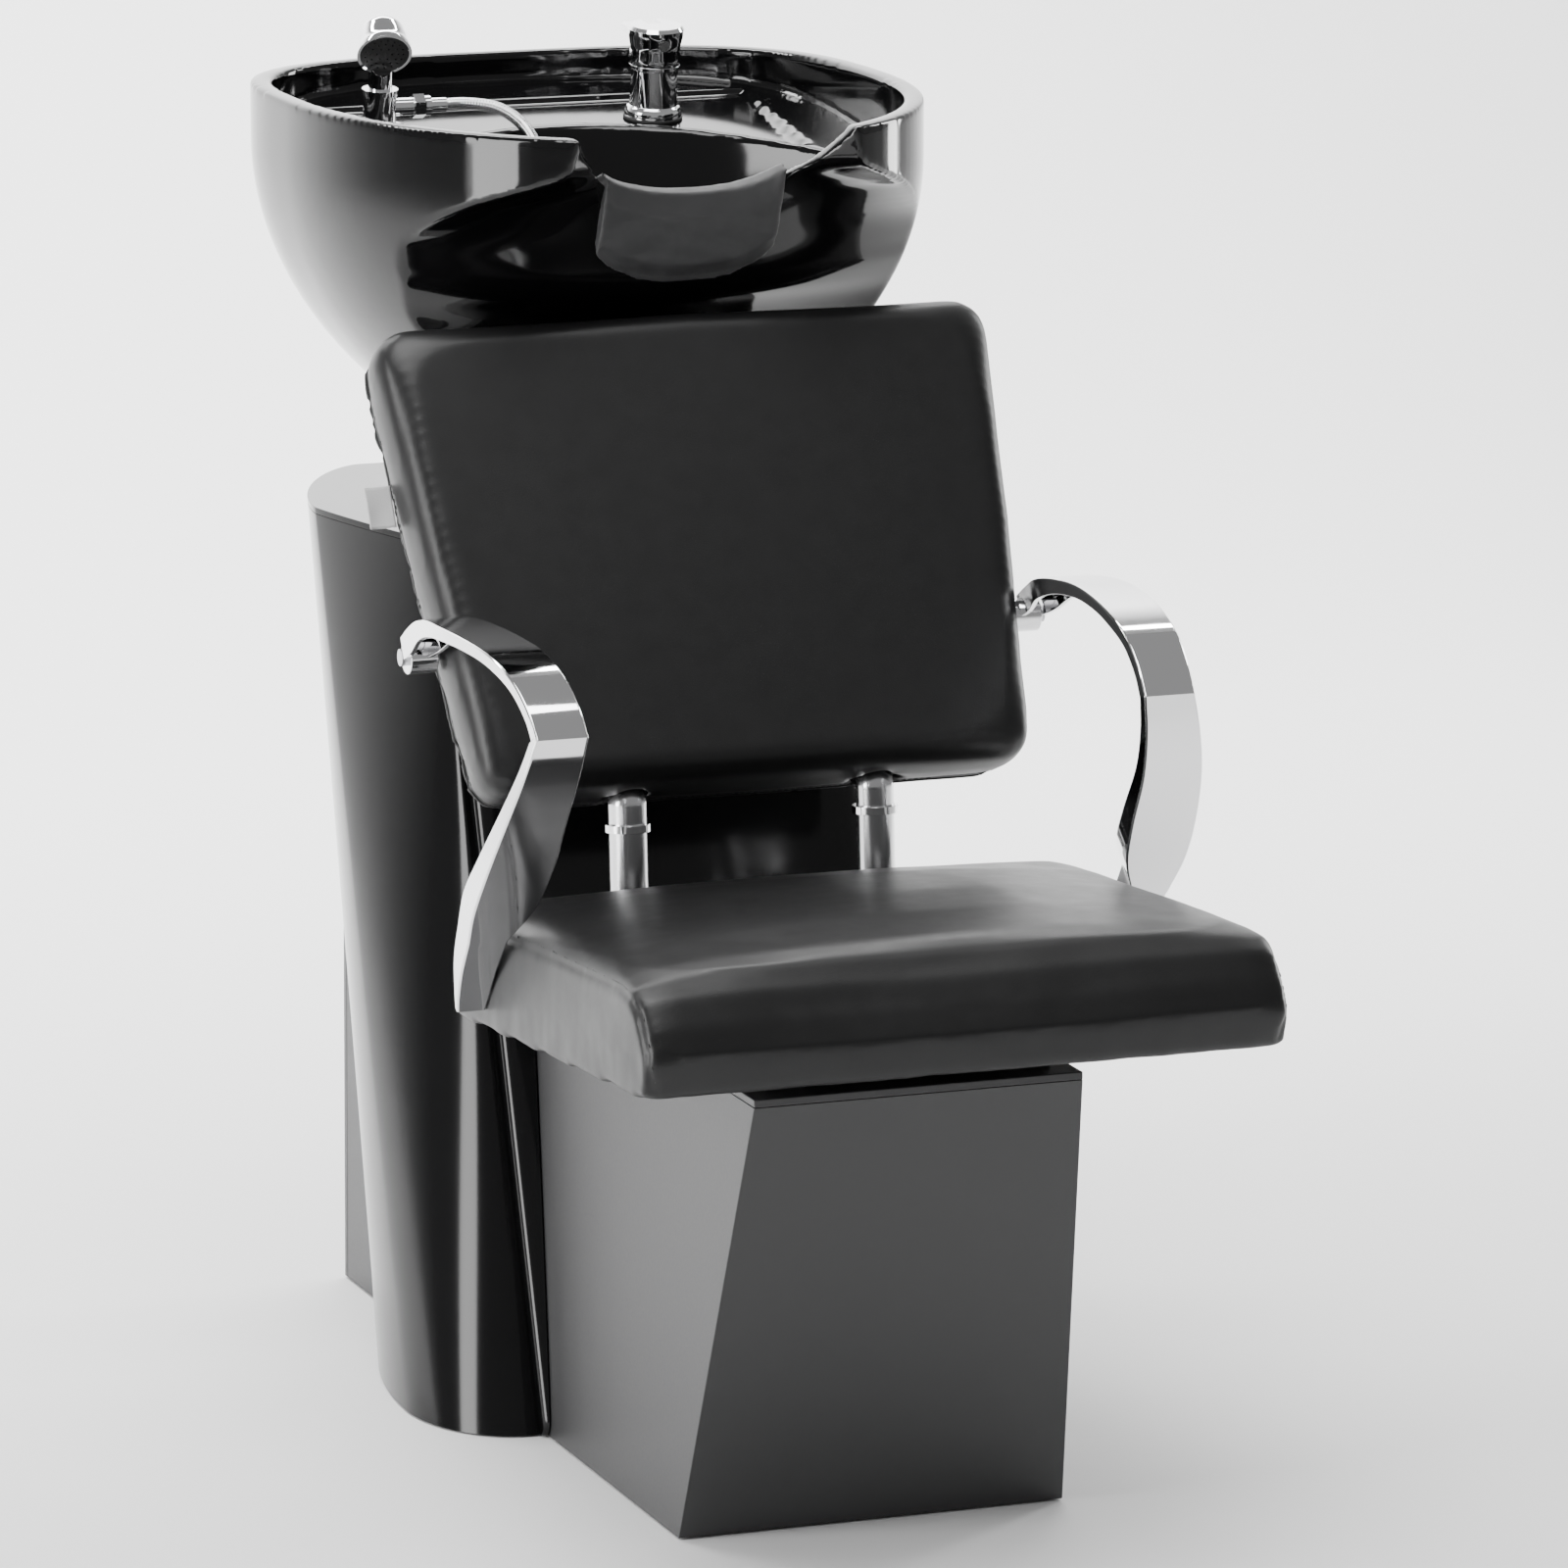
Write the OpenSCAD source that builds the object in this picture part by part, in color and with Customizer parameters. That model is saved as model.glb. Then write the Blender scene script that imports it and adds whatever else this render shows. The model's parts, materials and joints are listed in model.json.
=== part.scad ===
// Salon backwash unit: a fixed chair in front of a tilting wash basin.
// X is left to right, Y runs from the sitter's knees (-) to the basin's back (+), Z is up.
// The origin is on the floor under the middle of the pedestal.

/* [Pedestal] */
// Width of the pedestal at the floor
base_w = 303; // [280:1:360]
// Width of the pedestal at its top
base_top_w = 254; // [230:1:280]
// Length of the pedestal at the floor
base_len = 804; // [700:1:900]
// Height of the pedestal
base_h = 345; // [330:1:380]
// How far the front face leans out at the top
base_front_flare = 95; // [40:1:110]
// How far the rear face leans out at the top
base_rear_flare = 71; // [40:1:100]
// Thickness of the pedestal's steel sheet
base_sheet = 2; // [1.5:0.5:4]

/* [Seat] */
// Width of the seat
seat_w = 490; // [440:1:540]
// Length of the seat from front to back
seat_len = 432; // [400:1:480]
// Thickness of the seat at its side seam
seat_t = 80; // [65:1:100]
// How far the seat's front hangs past the pedestal's front top edge
seat_overhang = 107; // [80:1:130]
// Backward tilt of the seat in degrees
seat_tilt = 4; // [2:0.5:6]
// Height of the seat's crown above its side seam
seat_crown = 18; // [10:1:30]

/* [Backrest] */
// Width of the backrest at the top
back_top_w = 492; // [440:1:540]
// Width of the backrest at the bottom
back_bottom_w = 440; // [400:1:500]
// Length of the backrest along its face
back_len = 373; // [340:1:400]
// Backward lean of the backrest in degrees
back_lean = 29.5; // [26:0.5:31]
// Thickness of the backrest
back_t = 62; // [58:1:66]
// Diameter of the two uprights
upright_d = 29; // [25:0.5:32]
// Distance between the two uprights
upright_gap = 198; // [160:1:240]

/* [Armrests] */
// Width of the arm strap at its front corner
arm_strap_w = 40; // [30:1:46]
// Wall of the arm casting
arm_wall = 4; // [3:0.5:6]
// Diameter of the arm bolts
arm_bolt_d = 8; // [6:1:10]

/* [Column] */
// Width of the column at the floor
col_w = 462; // [430:1:500]
// Width of the column at the top
col_top_w = 406; // [380:1:440]
// Height of the column
col_h = 655; // [645:1:658]
// Depth of the column from front to back
col_depth = 354; // [330:1:380]
// Backward lean of the column as run over rise
col_lean = 0.343; // [0.3:0.01:0.36]
// Wall of the column shell
col_wall = 4; // [3:0.5:6]
// Width of the inset front panel
front_panel_w = 313; // [300:1:330]

/* [Basin] */
// Width of the basin
basin_w = 496; // [460:1:540]
// Height of the rim above the floor
rim_h = 988; // [970:1:1000]
// Radius of the glazed wall's thickness
basin_wall = 16; // [12:1:20]
// Height of the basin's flat underside above the floor
basin_bottom = 706; // [702:1:712]
// Radius of the drain hole
drain_r = 22; // [18:1:24]

/* [Tap and shower] */
// Diameter of the mixer's body
mixer_d = 39; // [34:1:44]
// Height of the mixer's fixed body
mixer_h = 42; // [36:1:50]
// Diameter of the hand shower's handle
shower_d = 26; // [22:1:30]
// Diameter of the hand shower's spray face
spray_d = 43; // [36:1:50]
// Diameter of the shower hose
hose_d = 10; // [9:1:14]

/* [Hidden] */
$fn = 72;
fit = 0.3;            // gap between pieces that only lie against each other
bore_fit = 0.06;      // radial clearance of a turning pin
e = 0.01;

// ---- shared values ----
base_clear = 1.5;                                   // height of the sheet's lower edge
base_front = -base_len / 2;
base_rear = base_len / 2;
top_plate_t = 6;
deck_h = base_h + top_plate_t;                      // upper face of the pedestal's top plate
hinge_y = 250;                                      // tilt axis of the basin
hinge_z = 678;
hinge_r = 8;
fork_t = 8;
fork_in = 62;                                       // inner face of each fork ear
lug_out = fork_in - 2;
bracket_t = 6;
pad_t = 3;
post_size = 40;
post_x = 45;
post_flange_t = 8;
col_front = -103;                                   // front of the column at the floor
col_top_t = 5;
col_shell_top = col_h - col_top_t;
post_top = col_shell_top - e;                       // the fork stands on this level
drain_y = 168;
back_frame_v = 26;                                  // depth of the wooden back frame's front face
upright_v = 42;                                     // depth of the uprights inside the backrest
upright_lean = 3.5;

function lerp(a, b, t) = a + (b - a) * t;

// Closed solid through a list of rings; each ring runs anticlockwise seen from the last ring's end.
module skin(rings) {
    n = len(rings[0]);
    m = len(rings);
    polyhedron(
        points = [for (r = rings) each r],
        faces = concat(
            [[for (i = [0 : n - 1]) i]],
            [for (k = [0 : m - 2], i = [0 : n - 1]) [k * n + i, (k + 1) * n + i, (k + 1) * n + (i + 1) % n]],
            [for (k = [0 : m - 2], i = [0 : n - 1]) [k * n + i, (k + 1) * n + (i + 1) % n, k * n + (i + 1) % n]],
            [[for (i = [n - 1 : -1 : 0]) (m - 1) * n + i]]),
        convexity = 10);
}

// Rings across X from a list of [y, z] outlines.
function at_x(x, outline) = [for (p = outline) [x, p[0], p[1]]];

module mirrored() {
    children();
    mirror([1, 0, 0]) children();
}

module tube(outer_r, inner_r, h) {
    difference() {
        cylinder(r = outer_r, h = h);
        translate([0, 0, -1]) cylinder(r = inner_r, h = h + 2);
    }
}

module hex(across_flats, h) {
    cylinder(d = across_flats / cos(30), h = h, $fn = 6);
}

// A hexagon bolt along -Z with its head above z = 0.
module hex_bolt(d, length, head_af) {
    hex(head_af, d * 0.65);
    translate([0, 0, -length]) cylinder(d = d, h = length + e);
}

// ---- pedestal ----
// Outline of the pedestal at height z, drawn in by an offset.
function base_ring(z, inset) =
    let (t = z / base_h,
         hw = lerp(base_w, base_top_w, t) / 2 - inset,
         y0 = base_front - base_front_flare * t + inset,
         y1 = base_rear + base_rear_flare * t - inset)
    [[-hw, y0, z], [hw, y0, z], [hw, y1, z], [-hw, y1, z]];

module base_solid(inset, z0, z1) {
    skin([base_ring(z0, inset), base_ring(z1, inset)]);
}

module base_shell() {
    color("dimgray") difference() {
        base_solid(0, base_clear, base_h);
        base_solid(base_sheet, 0, base_h + 1);
        translate([-base_w, base_rear - base_sheet - 6, -1])
            rotate([-atan(base_rear_flare / base_h), 0, 0]) cube([2 * base_w, 200, 2 * base_h]);
    }
}

module base_rear_panel() {
    color("dimgray") intersection() {
        difference() {
            base_solid(0, base_clear, base_h);
            base_solid(base_sheet, 0, base_h + 1);
        }
        translate([-base_w, base_rear - base_sheet - 6 + fit, -1])
            rotate([-atan(base_rear_flare / base_h), 0, 0]) cube([2 * base_w, 200, 2 * base_h]);
    }
}

module base_top_plate() {
    color("dimgray") difference() {
        skin([for (z = [base_h, deck_h]) [for (p = base_ring(base_h, 0)) [p[0], p[1], z]]]);
        for (x = [-1, 1], y = [-1, 1])
            translate([x * (post_x + 35), hinge_y + y * 40, base_h - 1]) cylinder(d = 10.5, h = 20);
        translate([0, hinge_y - 90, base_h - 1]) cylinder(r = 30, h = 20);
    }
}

floor_plate_t = 5;
floor_plate_z = 8;
anchor_x = 220;
anchor_y = 680;
anchor_r = 6.5;
module floor_plate() {
    w = base_w - 2 * base_sheet - 2;
    l = base_len - 2 * base_sheet - 4;
    color("dimgray") translate([0, 0, floor_plate_z]) difference() {
        translate([-w / 2, -l / 2, 0]) cube([w, l, floor_plate_t]);
        for (x = [-1, 1], y = [-1, 1])
            translate([x * anchor_x / 2, y * anchor_y / 2, -1]) cylinder(r = anchor_r, h = 20);
        translate([0, 120, -1]) cylinder(r = 55, h = 20);
    }
}

foot_r = 18;
module base_feet() {
    color("black") {
        cylinder(r = foot_r, h = floor_plate_z);
        for (x = [-1, 1], y = [-1, 1])
            translate([x * (anchor_x / 2 - 45), y * anchor_y / 2, 0]) cylinder(r = foot_r, h = floor_plate_z);
    }
}

// ---- column ----
// Right half of the column's outline at height z, from the front panel to the rear flat.
function col_half(z, inset) =
    let (t = z / col_h,
         w = lerp(col_w, col_top_w, t) / 2 - inset,
         shift = col_front + col_lean * z,
         side = shift + lerp(98, 175, t),
         front_x = front_panel_w / 2 + 4 - inset * 0.3,
         rear_x = lerp(120, 110, t),
         fp = lerp(1, 1.74, t),
         rp = lerp(1.1, 1.33, t),
         y0 = shift + inset,
         y1 = shift + col_depth - inset)
    concat(
        [for (a = [0 : 15 : 90]) [lerp(front_x, w, pow(sin(a), fp)), lerp(side, y0, pow(cos(a), fp)), z]],
        [for (a = [15 : 15 : 90]) [lerp(rear_x, w, pow(cos(a), rp)), lerp(side, y1, pow(sin(a), rp)), z]]);

function col_ring(z, inset) =
    let (h = col_half(z, inset), n = len(h))
    concat(h, [for (i = [n - 1 : -1 : 0]) [-h[i][0], h[i][1], z]]);

col_levels = 8;
module col_solid(inset, z0, z1) {
    skin([for (k = [0 : col_levels]) col_ring(lerp(z0, z1, k / col_levels), inset)]);
}

// Space that the pedestal takes up inside the column.
module base_clearance() {
    translate([0, 0, -2]) skin([base_ring(-2, -1.5), base_ring(deck_h + 4, -1.5)]);
}

// A bar through the column's front or back that follows its lean.
module leaning_bar(half_w, depth0, depth1, z0, z1) {
    skin([for (z = [z0, z1]) let (y = col_front + col_lean * z)
        [[-half_w, y + depth0, z], [half_w, y + depth0, z], [half_w, y + depth1, z], [-half_w, y + depth1, z]]]);
}

service_w = 170;
service_z0 = 392;
service_z1 = 606;
module column_shell() {
    color("black") difference() {
        col_solid(0, base_clear, col_shell_top);
        col_solid(col_wall, base_clear - 2, col_shell_top + 1);
        leaning_bar(front_panel_w / 2, -40, 40, 0, col_h + 5);
        leaning_bar(service_w / 2 - 18, col_depth - 30, col_depth + 30, service_z0 + 18, service_z1 - 18);
        service_positions() translate([0, 0, -15]) cylinder(d = 4, h = 20);
        base_clearance();
    }
}

// Outline of the bulged front panel at height z.
function panel_ring(z, swell) =
    let (y = col_front + col_lean * z, hw = front_panel_w / 2 - fit)
    [[hw, y + 12, z], [-hw, y + 12, z], [-hw, y - 8 * swell, z], [-hw + 8, y - 18 * swell, z],
     [-hw + 34, y - 23 * swell, z], [0, y - 26 * swell, z], [hw - 34, y - 23 * swell, z],
     [hw - 8, y - 18 * swell, z], [hw, y - 8 * swell, z]];

module column_front_panel() {
    z0 = base_clear;
    color("black") difference() {
        skin([panel_ring(z0, 0.3), panel_ring(z0 + 5, 0.75), panel_ring(z0 + 14, 1),
              panel_ring(col_shell_top - 3, 1), panel_ring(col_shell_top - fit, 0.8)]);
        leaning_bar(front_panel_w / 2 - 4, -12, 40, -1, col_h + 5);
        base_clearance();
    }
}

waste_slot_r = 30;
module column_top() {
    color("black") difference() {
        skin([for (z = [col_shell_top + fit, col_h]) col_ring(z, 0)]);
        translate([-fork_in - 20, hinge_y - 52, col_shell_top - 5]) cube([2 * fork_in + 40, 104, 20]);
        translate([0, drain_y + 4, col_shell_top - 5]) cylinder(r = waste_slot_r, h = 20);
        translate([0, hinge_y + 105, col_shell_top - 5]) cylinder(r = 32, h = 20);
    }
}

panel_t = 2;
module service_panel() {
    color("black") difference() {
        leaning_bar(service_w / 2, col_depth + fit, col_depth + fit + panel_t, service_z0, service_z1);
        service_positions() translate([0, 0, -5]) cylinder(d = 4.6, h = 20);
    }
}

module service_positions() {
    for (x = [-1, 1], z = [service_z0 + 9, service_z1 - 9])
        translate([x * (service_w / 2 - 9), col_front + col_lean * z + col_depth + fit + panel_t, z])
            rotate([-90 - atan(col_lean), 0, 0]) children();
}

module service_screws() {
    color("silver") service_positions() {
        translate([0, 0, 0.4]) cylinder(r1 = 4, r2 = 3, h = 2.2);
        translate([0, 0, -6]) cylinder(d = 3.8, h = 7);
    }
}

module column_post() {
    color("gray") {
        difference() {
            translate([-post_x - 55, hinge_y - 60, deck_h]) cube([2 * post_x + 110, 120, 6]);
            for (x = [-1, 1], y = [-1, 1])
                translate([x * (post_x + 35), hinge_y + y * 40, deck_h - 1]) cylinder(d = 10.5, h = 20);
        }
        for (x = [-1, 1]) translate([x * post_x, hinge_y, deck_h + 6 - e]) difference() {
            h = post_top - post_flange_t - deck_h - 6 + 2 * e;
            translate([-post_size / 2, -post_size / 2, 0]) cube([post_size, post_size, h]);
            translate([-post_size / 2 + 3, -post_size / 2 + 3, -1]) cube([post_size - 6, post_size - 6, h + 2]);
        }
        difference() {
            translate([-fork_in - 14, hinge_y - 46, post_top - post_flange_t])
                cube([2 * fork_in + 28, 92, post_flange_t]);
            fork_bolt_holes();
        }
    }
}

module post_bolts() {
    color("silver") for (x = [-1, 1], y = [-1, 1])
        translate([x * (post_x + 35), hinge_y + y * 40, deck_h + 6]) hex_bolt(9.8, 22, 16);
}

// ---- tilt hinge ----
fork_bolt_x = 40;
fork_bolt_y = 34;
module fork_bolt_holes() {
    for (x = [-1, 1], y = [-1, 1])
        translate([x * fork_bolt_x, hinge_y + y * fork_bolt_y, post_top - 20]) cylinder(d = 8.6, h = 60);
}

fork_r = 13;
module tilt_fork() {
    color("gray") difference() {
        union() {
            translate([-fork_in - fork_t, hinge_y - 45, post_top]) cube([2 * (fork_in + fork_t), 90, fork_t]);
            mirrored() translate([fork_in, hinge_y - fork_r, post_top])
                cube([fork_t, 2 * fork_r, hinge_z - post_top]);
            mirrored() translate([fork_in, hinge_y, hinge_z]) rotate([0, 90, 0]) cylinder(r = fork_r, h = fork_t);
        }
        translate([-100, hinge_y, hinge_z]) rotate([0, 90, 0]) cylinder(r = hinge_r + bore_fit, h = 200);
        fork_bolt_holes();
    }
}

module fork_bolts() {
    color("silver") for (x = [-1, 1], y = [-1, 1])
        translate([x * fork_bolt_x, hinge_y + y * fork_bolt_y, post_top + fork_t]) hex_bolt(8, 20, 13);
}

pin_half = fork_in + fork_t + 8;
module tilt_pin() {
    color("silver") translate([-pin_half, hinge_y, hinge_z]) rotate([0, 90, 0]) cylinder(r = hinge_r, h = 2 * pin_half);
}

module tilt_pin_rings() {
    color("silver") mirrored() translate([fork_in + fork_t + fit, hinge_y, hinge_z])
        rotate([0, 90, 0]) tube(hinge_r + 5, hinge_r + 0.03, 5);
}

// ---- seat ----
// Everything in the seat is drawn in the seat's own frame: origin at the front lower edge, +Y back, +Z up.
seat_front = base_front - base_front_flare - seat_overhang;
seat_bottom = deck_h + 0.7 + seat_len * sin(seat_tilt);
module seat_frame_of_reference() {
    translate([0, seat_front, seat_bottom]) rotate([-seat_tilt, 0, 0]) children();
}

seat_wood_t = 46;
seat_skin = 12;
module seat_frame() {
    color("#1c1c1c") seat_frame_of_reference() difference() {
        translate([-seat_w / 2 + seat_skin, seat_skin + 8, 0]) cube([seat_w - 2 * seat_skin, seat_len - 2 * seat_skin - 8, seat_wood_t]);
        translate([-seat_w / 2 + 40, 48, 14]) cube([seat_w - 80, seat_len - 96, seat_wood_t]);
        seat_bolt_positions() translate([0, 0, -1]) cylinder(d = 8.6, h = 30);
        arm_bolt_lower_line(arm_bolt_d + 0.4);
    }
}

seat_rail_x = 95;
rail_y = 130;
rail_len = 270;
module seat_bolt_positions() {
    for (x = [-1, 1], y = [rail_y + 30, rail_y + rail_len - 30]) translate([x * seat_rail_x, y, 0]) children();
}

// Two folded steel rails that level the tilted seat on the flat pedestal.
module seat_rails() {
    color("gray") difference() {
        for (x = [-1, 1]) {
            y0 = seat_front + rail_y;
            z0 = seat_bottom - rail_y * tan(seat_tilt);
            z1 = seat_bottom - (rail_y + rail_len) * tan(seat_tilt);
            skin([for (s = [-1, 1]) at_x(x * seat_rail_x + s * 15,
                [[y0, deck_h], [y0 + rail_len, deck_h], [y0 + rail_len, z1 - fit], [y0, z0 - fit]])]);
        }
        seat_frame_of_reference() seat_bolt_positions() translate([0, 0, -60]) cylinder(d = 8.6, h = 80);
    }
}

module seat_bolts() {
    color("silver") seat_frame_of_reference() seat_bolt_positions() translate([0, 0, 14]) {
        cylinder(d = 18, h = 3);
        translate([0, 0, -18]) cylinder(d = 8, h = 18 + e);
    }
}

// Half outline of the cushion's side view is repeated across X with a crowned top.
function seat_profile(x, hw, drop) =
    let (rise = seat_crown * (1 - pow(abs(x) / hw, 2.4)), top = seat_t - drop)
    [[8 + drop, 0], [seat_len - drop, 0], [seat_len - drop, top - 14], [seat_len - 8 - drop, top - 4 + rise * 0.1],
     [seat_len - 30, top + rise * 0.35], [seat_len * 0.75, top + rise * 0.9], [seat_len * 0.5, top + rise],
     [seat_len * 0.3, top + rise * 0.9], [60, top + rise * 0.55], [34, top - 2 + rise * 0.25], [18 + drop, top - 10],
     [4 + drop, top - 30], [-4 + drop, top - 48], [drop, 20]];

module seat_cushion() {
    hw = seat_w / 2;
    color("black") seat_frame_of_reference() difference() {
        skin([for (s = [-1, -0.975, -0.9, -0.7, -0.4, 0, 0.4, 0.7, 0.9, 0.975, 1])
            at_x(s * hw, seat_profile(s * hw, hw, abs(s) == 1 ? 6 : abs(s) > 0.95 ? 1.5 : 0))]);
        translate([-hw + seat_skin - fit, seat_skin + 8 - fit, -1])
            cube([seat_w - 2 * seat_skin + 2 * fit, seat_len - 2 * seat_skin - 8 + 2 * fit, seat_wood_t + 1 + fit]);
        arm_bolt_lower_line(arm_bolt_d + 0.6);
    }
}

// ---- backrest ----
// Backrest frame: origin at the bottom middle of the front face, +Y into the back, +Z up the face.
back_y = -180;
back_z = 520;
module back_frame_of_reference() {
    translate([0, back_y, back_z]) rotate([-back_lean, 0, 0]) children();
}

module back_plate(inset, v0, v1, r, bottom_inset) {
    translate([0, v1, 0]) rotate([90, 0, 0]) linear_extrude(v1 - v0) back_outline(inset, r, bottom_inset);
}

// Trapezoid with round corners and gently bowed sides.
module back_outline(inset, r, bottom_inset) {
    wb = back_bottom_w / 2 - inset;
    wt = back_top_w / 2 - inset;
    union() {
        polygon(concat(
            [for (a = [270 : 15 : 360]) [wb - r + r * cos(a), bottom_inset + r + r * sin(a)]],
            [for (a = [0 : 15 : 90]) [wt - r + r * cos(a), back_len - inset - r + r * sin(a)]],
            [for (a = [90 : 15 : 180]) [-wt + r + r * cos(a), back_len - inset - r + r * sin(a)]],
            [for (a = [180 : 15 : 270]) [-wb + r + r * cos(a), bottom_inset + r + r * sin(a)]]));
    }
}

back_cover_t = 3;
back_skin = 7;
module upright_bores(r) {
    mirrored() translate([upright_gap / 2, upright_v, -2]) cylinder(r = r, h = 124);
}

module back_frame() {
    color("#1c1c1c") back_frame_of_reference() difference() {
        back_plate(back_skin, back_frame_v, back_t - back_cover_t - fit, 20, 8);
        upright_bores(upright_d / 2 + 0.1);
        translate([-90, 10, 150]) cube([180, 60, 130]);
        arm_bolt_upper_line(arm_bolt_d + 0.4);
    }
}

module back_cushion() {
    color("black") back_frame_of_reference() difference() {
        skin([for (v = [[0, 16], [4, 6], [12, 1], [30, 0], [back_t - back_cover_t - fit, 3]]) back_ring(v[1], v[0])]);
        back_plate(back_skin - fit, back_frame_v - fit, back_t + 5, 20, 8 - fit);
        upright_bores(upright_d / 2 + 1.2);
        arm_bolt_upper_line(arm_bolt_d + 0.6);
    }
}

// One ring of the cushion's face at depth v, drawn in by an inset.
function back_ring(inset, v) =
    let (wb = back_bottom_w / 2 - inset, wt = back_top_w / 2 - inset, r = 26, top = back_len - inset)
    concat(
        [for (a = [180 : 18 : 270]) [-wb + r + r * cos(a), v, inset + r + r * sin(a)]],
        [[0, v, inset - 2]],
        [for (a = [270 : 18 : 360]) [wb - r + r * cos(a), v, inset + r + r * sin(a)]],
        [[(wb + wt) / 2 + 3, v, back_len / 2]],
        [for (a = [0 : 18 : 90]) [wt - r + r * cos(a), v, top - r + r * sin(a)]],
        [[0, v, top + 3]],
        [for (a = [90 : 18 : 180]) [-wt + r + r * cos(a), v, top - r + r * sin(a)]],
        [[-(wb + wt) / 2 - 3, v, back_len / 2]]);

module back_cover() {
    color("black") back_frame_of_reference() difference() {
        back_plate(6, back_t - back_cover_t, back_t, 22, 6);
    }
}

tag_z = 230;
module side_tag() {
    hw = lerp(back_bottom_w, back_top_w, (tag_z + 33) / back_len) / 2;
    color("silver") back_frame_of_reference()
        translate([-hw - 20.8, back_t - back_cover_t - 8, tag_z]) cube([20.3, 1, 33]);
}

// ---- uprights ----
// The tube bends where it enters the backrest: lower leg from the seat, upper leg inside the frame.
bend_u = -3;
bend_y = back_y + upright_v * cos(back_lean) + bend_u * sin(back_lean);
bend_z = back_z - upright_v * sin(back_lean) + bend_u * cos(back_lean);
upright_foot_z = deck_h + 5.5;
module upright() {
    lower_len = (bend_z - upright_foot_z) / cos(upright_lean);
    color("silver") difference() {
        union() {
            translate([0, bend_y, bend_z]) {
                sphere(d = upright_d + 0.2);
                rotate([-back_lean, 0, 0]) cylinder(d = upright_d, h = 108);
                rotate([180 - upright_lean, 0, 0]) cylinder(d = upright_d, h = lower_len);
            }
        }
        translate([0, bend_y, bend_z]) {
            sphere(d = upright_d - 3.8);
            rotate([-back_lean, 0, 0]) cylinder(d = upright_d - 4, h = 120);
            rotate([180 - upright_lean, 0, 0]) cylinder(d = upright_d - 4, h = lower_len + 10);
        }
    }
}
module upright_left() { translate([-upright_gap / 2, 0, 0]) upright(); }
module upright_right() { translate([upright_gap / 2, 0, 0]) upright(); }

upright_foot_y = bend_y - (bend_z - upright_foot_z) * tan(upright_lean);
module upright_feet() {
    color("gray") mirrored() translate([upright_gap / 2, upright_foot_y, deck_h]) {
        translate([-26, -17, 0]) cube([52, 57, 4 - fit]);
        translate([0, 0, 4]) rotate([-upright_lean, 0, 0]) translate([0, 0, 1]) tube(upright_d / 2 + 3, upright_d / 2 + 0.1, 30);
        translate([-20, 17, 0]) cube([40, 4, 30]);
    }
}

module upright_collars() {
    color("silver") mirrored() translate([upright_gap / 2, bend_y, bend_z])
        rotate([180 - upright_lean, 0, 0]) translate([0, 0, 15]) tube(upright_d / 2 + 3, upright_d / 2 + 0.1, 6);
}

// ---- armrests ----
// Side view of the strap: [y, z, inner x, outer x, flange depth], from the rear hub round to the foot.
// The x values count from the arm's reference plane, which is the seat's side or just outside the backrest.
arm_top_bolt = [-87, 608];
arm_low_bolt = [-248, 395];
hub_u = (arm_top_bolt[0] - back_y) * sin(back_lean) + (arm_top_bolt[1] - back_z) * cos(back_lean);
hub_x = lerp(back_bottom_w, back_top_w, hub_u / back_len) / 2 + 2.2;
arm_x = max(seat_w / 2, hub_x + 14);
foot_in = seat_w / 2 + 0.6 - arm_x;
corner_out = arm_strap_w - 29.5;
arm_path = [
    [-88, 624, -9, 13, 18], [-110, 635, -11, 15, 20], [-140, 646, -15, 18, 16], [-180, 653, -16, 23, 12],
    [-225, 656, -17, 26, 10], [-270, 655, -21, 23, 9], [-310, 651, -25, 19, 9], [-350, 640, -27, 15, 9],
    [-378, 622, -28.5, 12, 9], [-395, 603, -29.5, corner_out, 10], [-387, 570, -25, 19, 12],
    [-371, 535, -21, 27, 15], [-346, 495, -19, 33, 20], [-322, 462, -13, 35, 25], [-300, 435, foot_in, 32, 26],
    [-275, 408, foot_in, 29, 20], [-258, 386, foot_in, 26, 10], [-247, 372, foot_in, 23, 5]];

// Unit tangent of the path at point i in the side view.
function arm_tangent(i) =
    let (a = arm_path[max(i - 1, 0)], b = arm_path[min(i + 1, len(arm_path) - 1)], d = [b[0] - a[0], b[1] - a[1]])
    d / norm(d);

// Channel section: flat outside, a flange along each edge pointing to the inside of the curve.
function arm_section(i) =
    let (p = arm_path[i], t = arm_tangent(i), ny = -t[1], nz = t[0], w = arm_wall, f = p[4],
         at = function (x, d) [arm_x + x, p[0] + ny * d, p[1] + nz * d])
    [at(p[2], f), at(p[2] + w, f), at(p[2] + w, w), at(p[3] - w, w),
     at(p[3] - w, f), at(p[3], f), at(p[3], 0), at(p[2], 0)];

boss_out = arm_x + 8;                               // the bolt heads bear on this plane
module arm() {
    color("silver") difference() {
        union() {
            skin([for (i = [0 : len(arm_path) - 1]) arm_section(i)]);
            translate([hub_x, arm_top_bolt[0], arm_top_bolt[1]]) rotate([0, 90, 0]) cylinder(r = 13, h = boss_out - hub_x);
            translate([arm_x + foot_in - 0.2, arm_low_bolt[0], arm_low_bolt[1]])
                rotate([0, 90, 0]) cylinder(r = 10, h = boss_out - arm_x - foot_in + 0.2);
        }
        arm_bolt_upper_hole(arm_bolt_d + 0.4);
        arm_bolt_lower_hole(arm_bolt_d + 0.4);
    }
}

bolt_reach = 60;                                    // length of an arm bolt below its head
module arm_bolt_upper_hole(d) {
    translate([boss_out - bolt_reach - 2, arm_top_bolt[0], arm_top_bolt[1]]) rotate([0, 90, 0]) cylinder(d = d, h = bolt_reach + 3);
}

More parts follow.
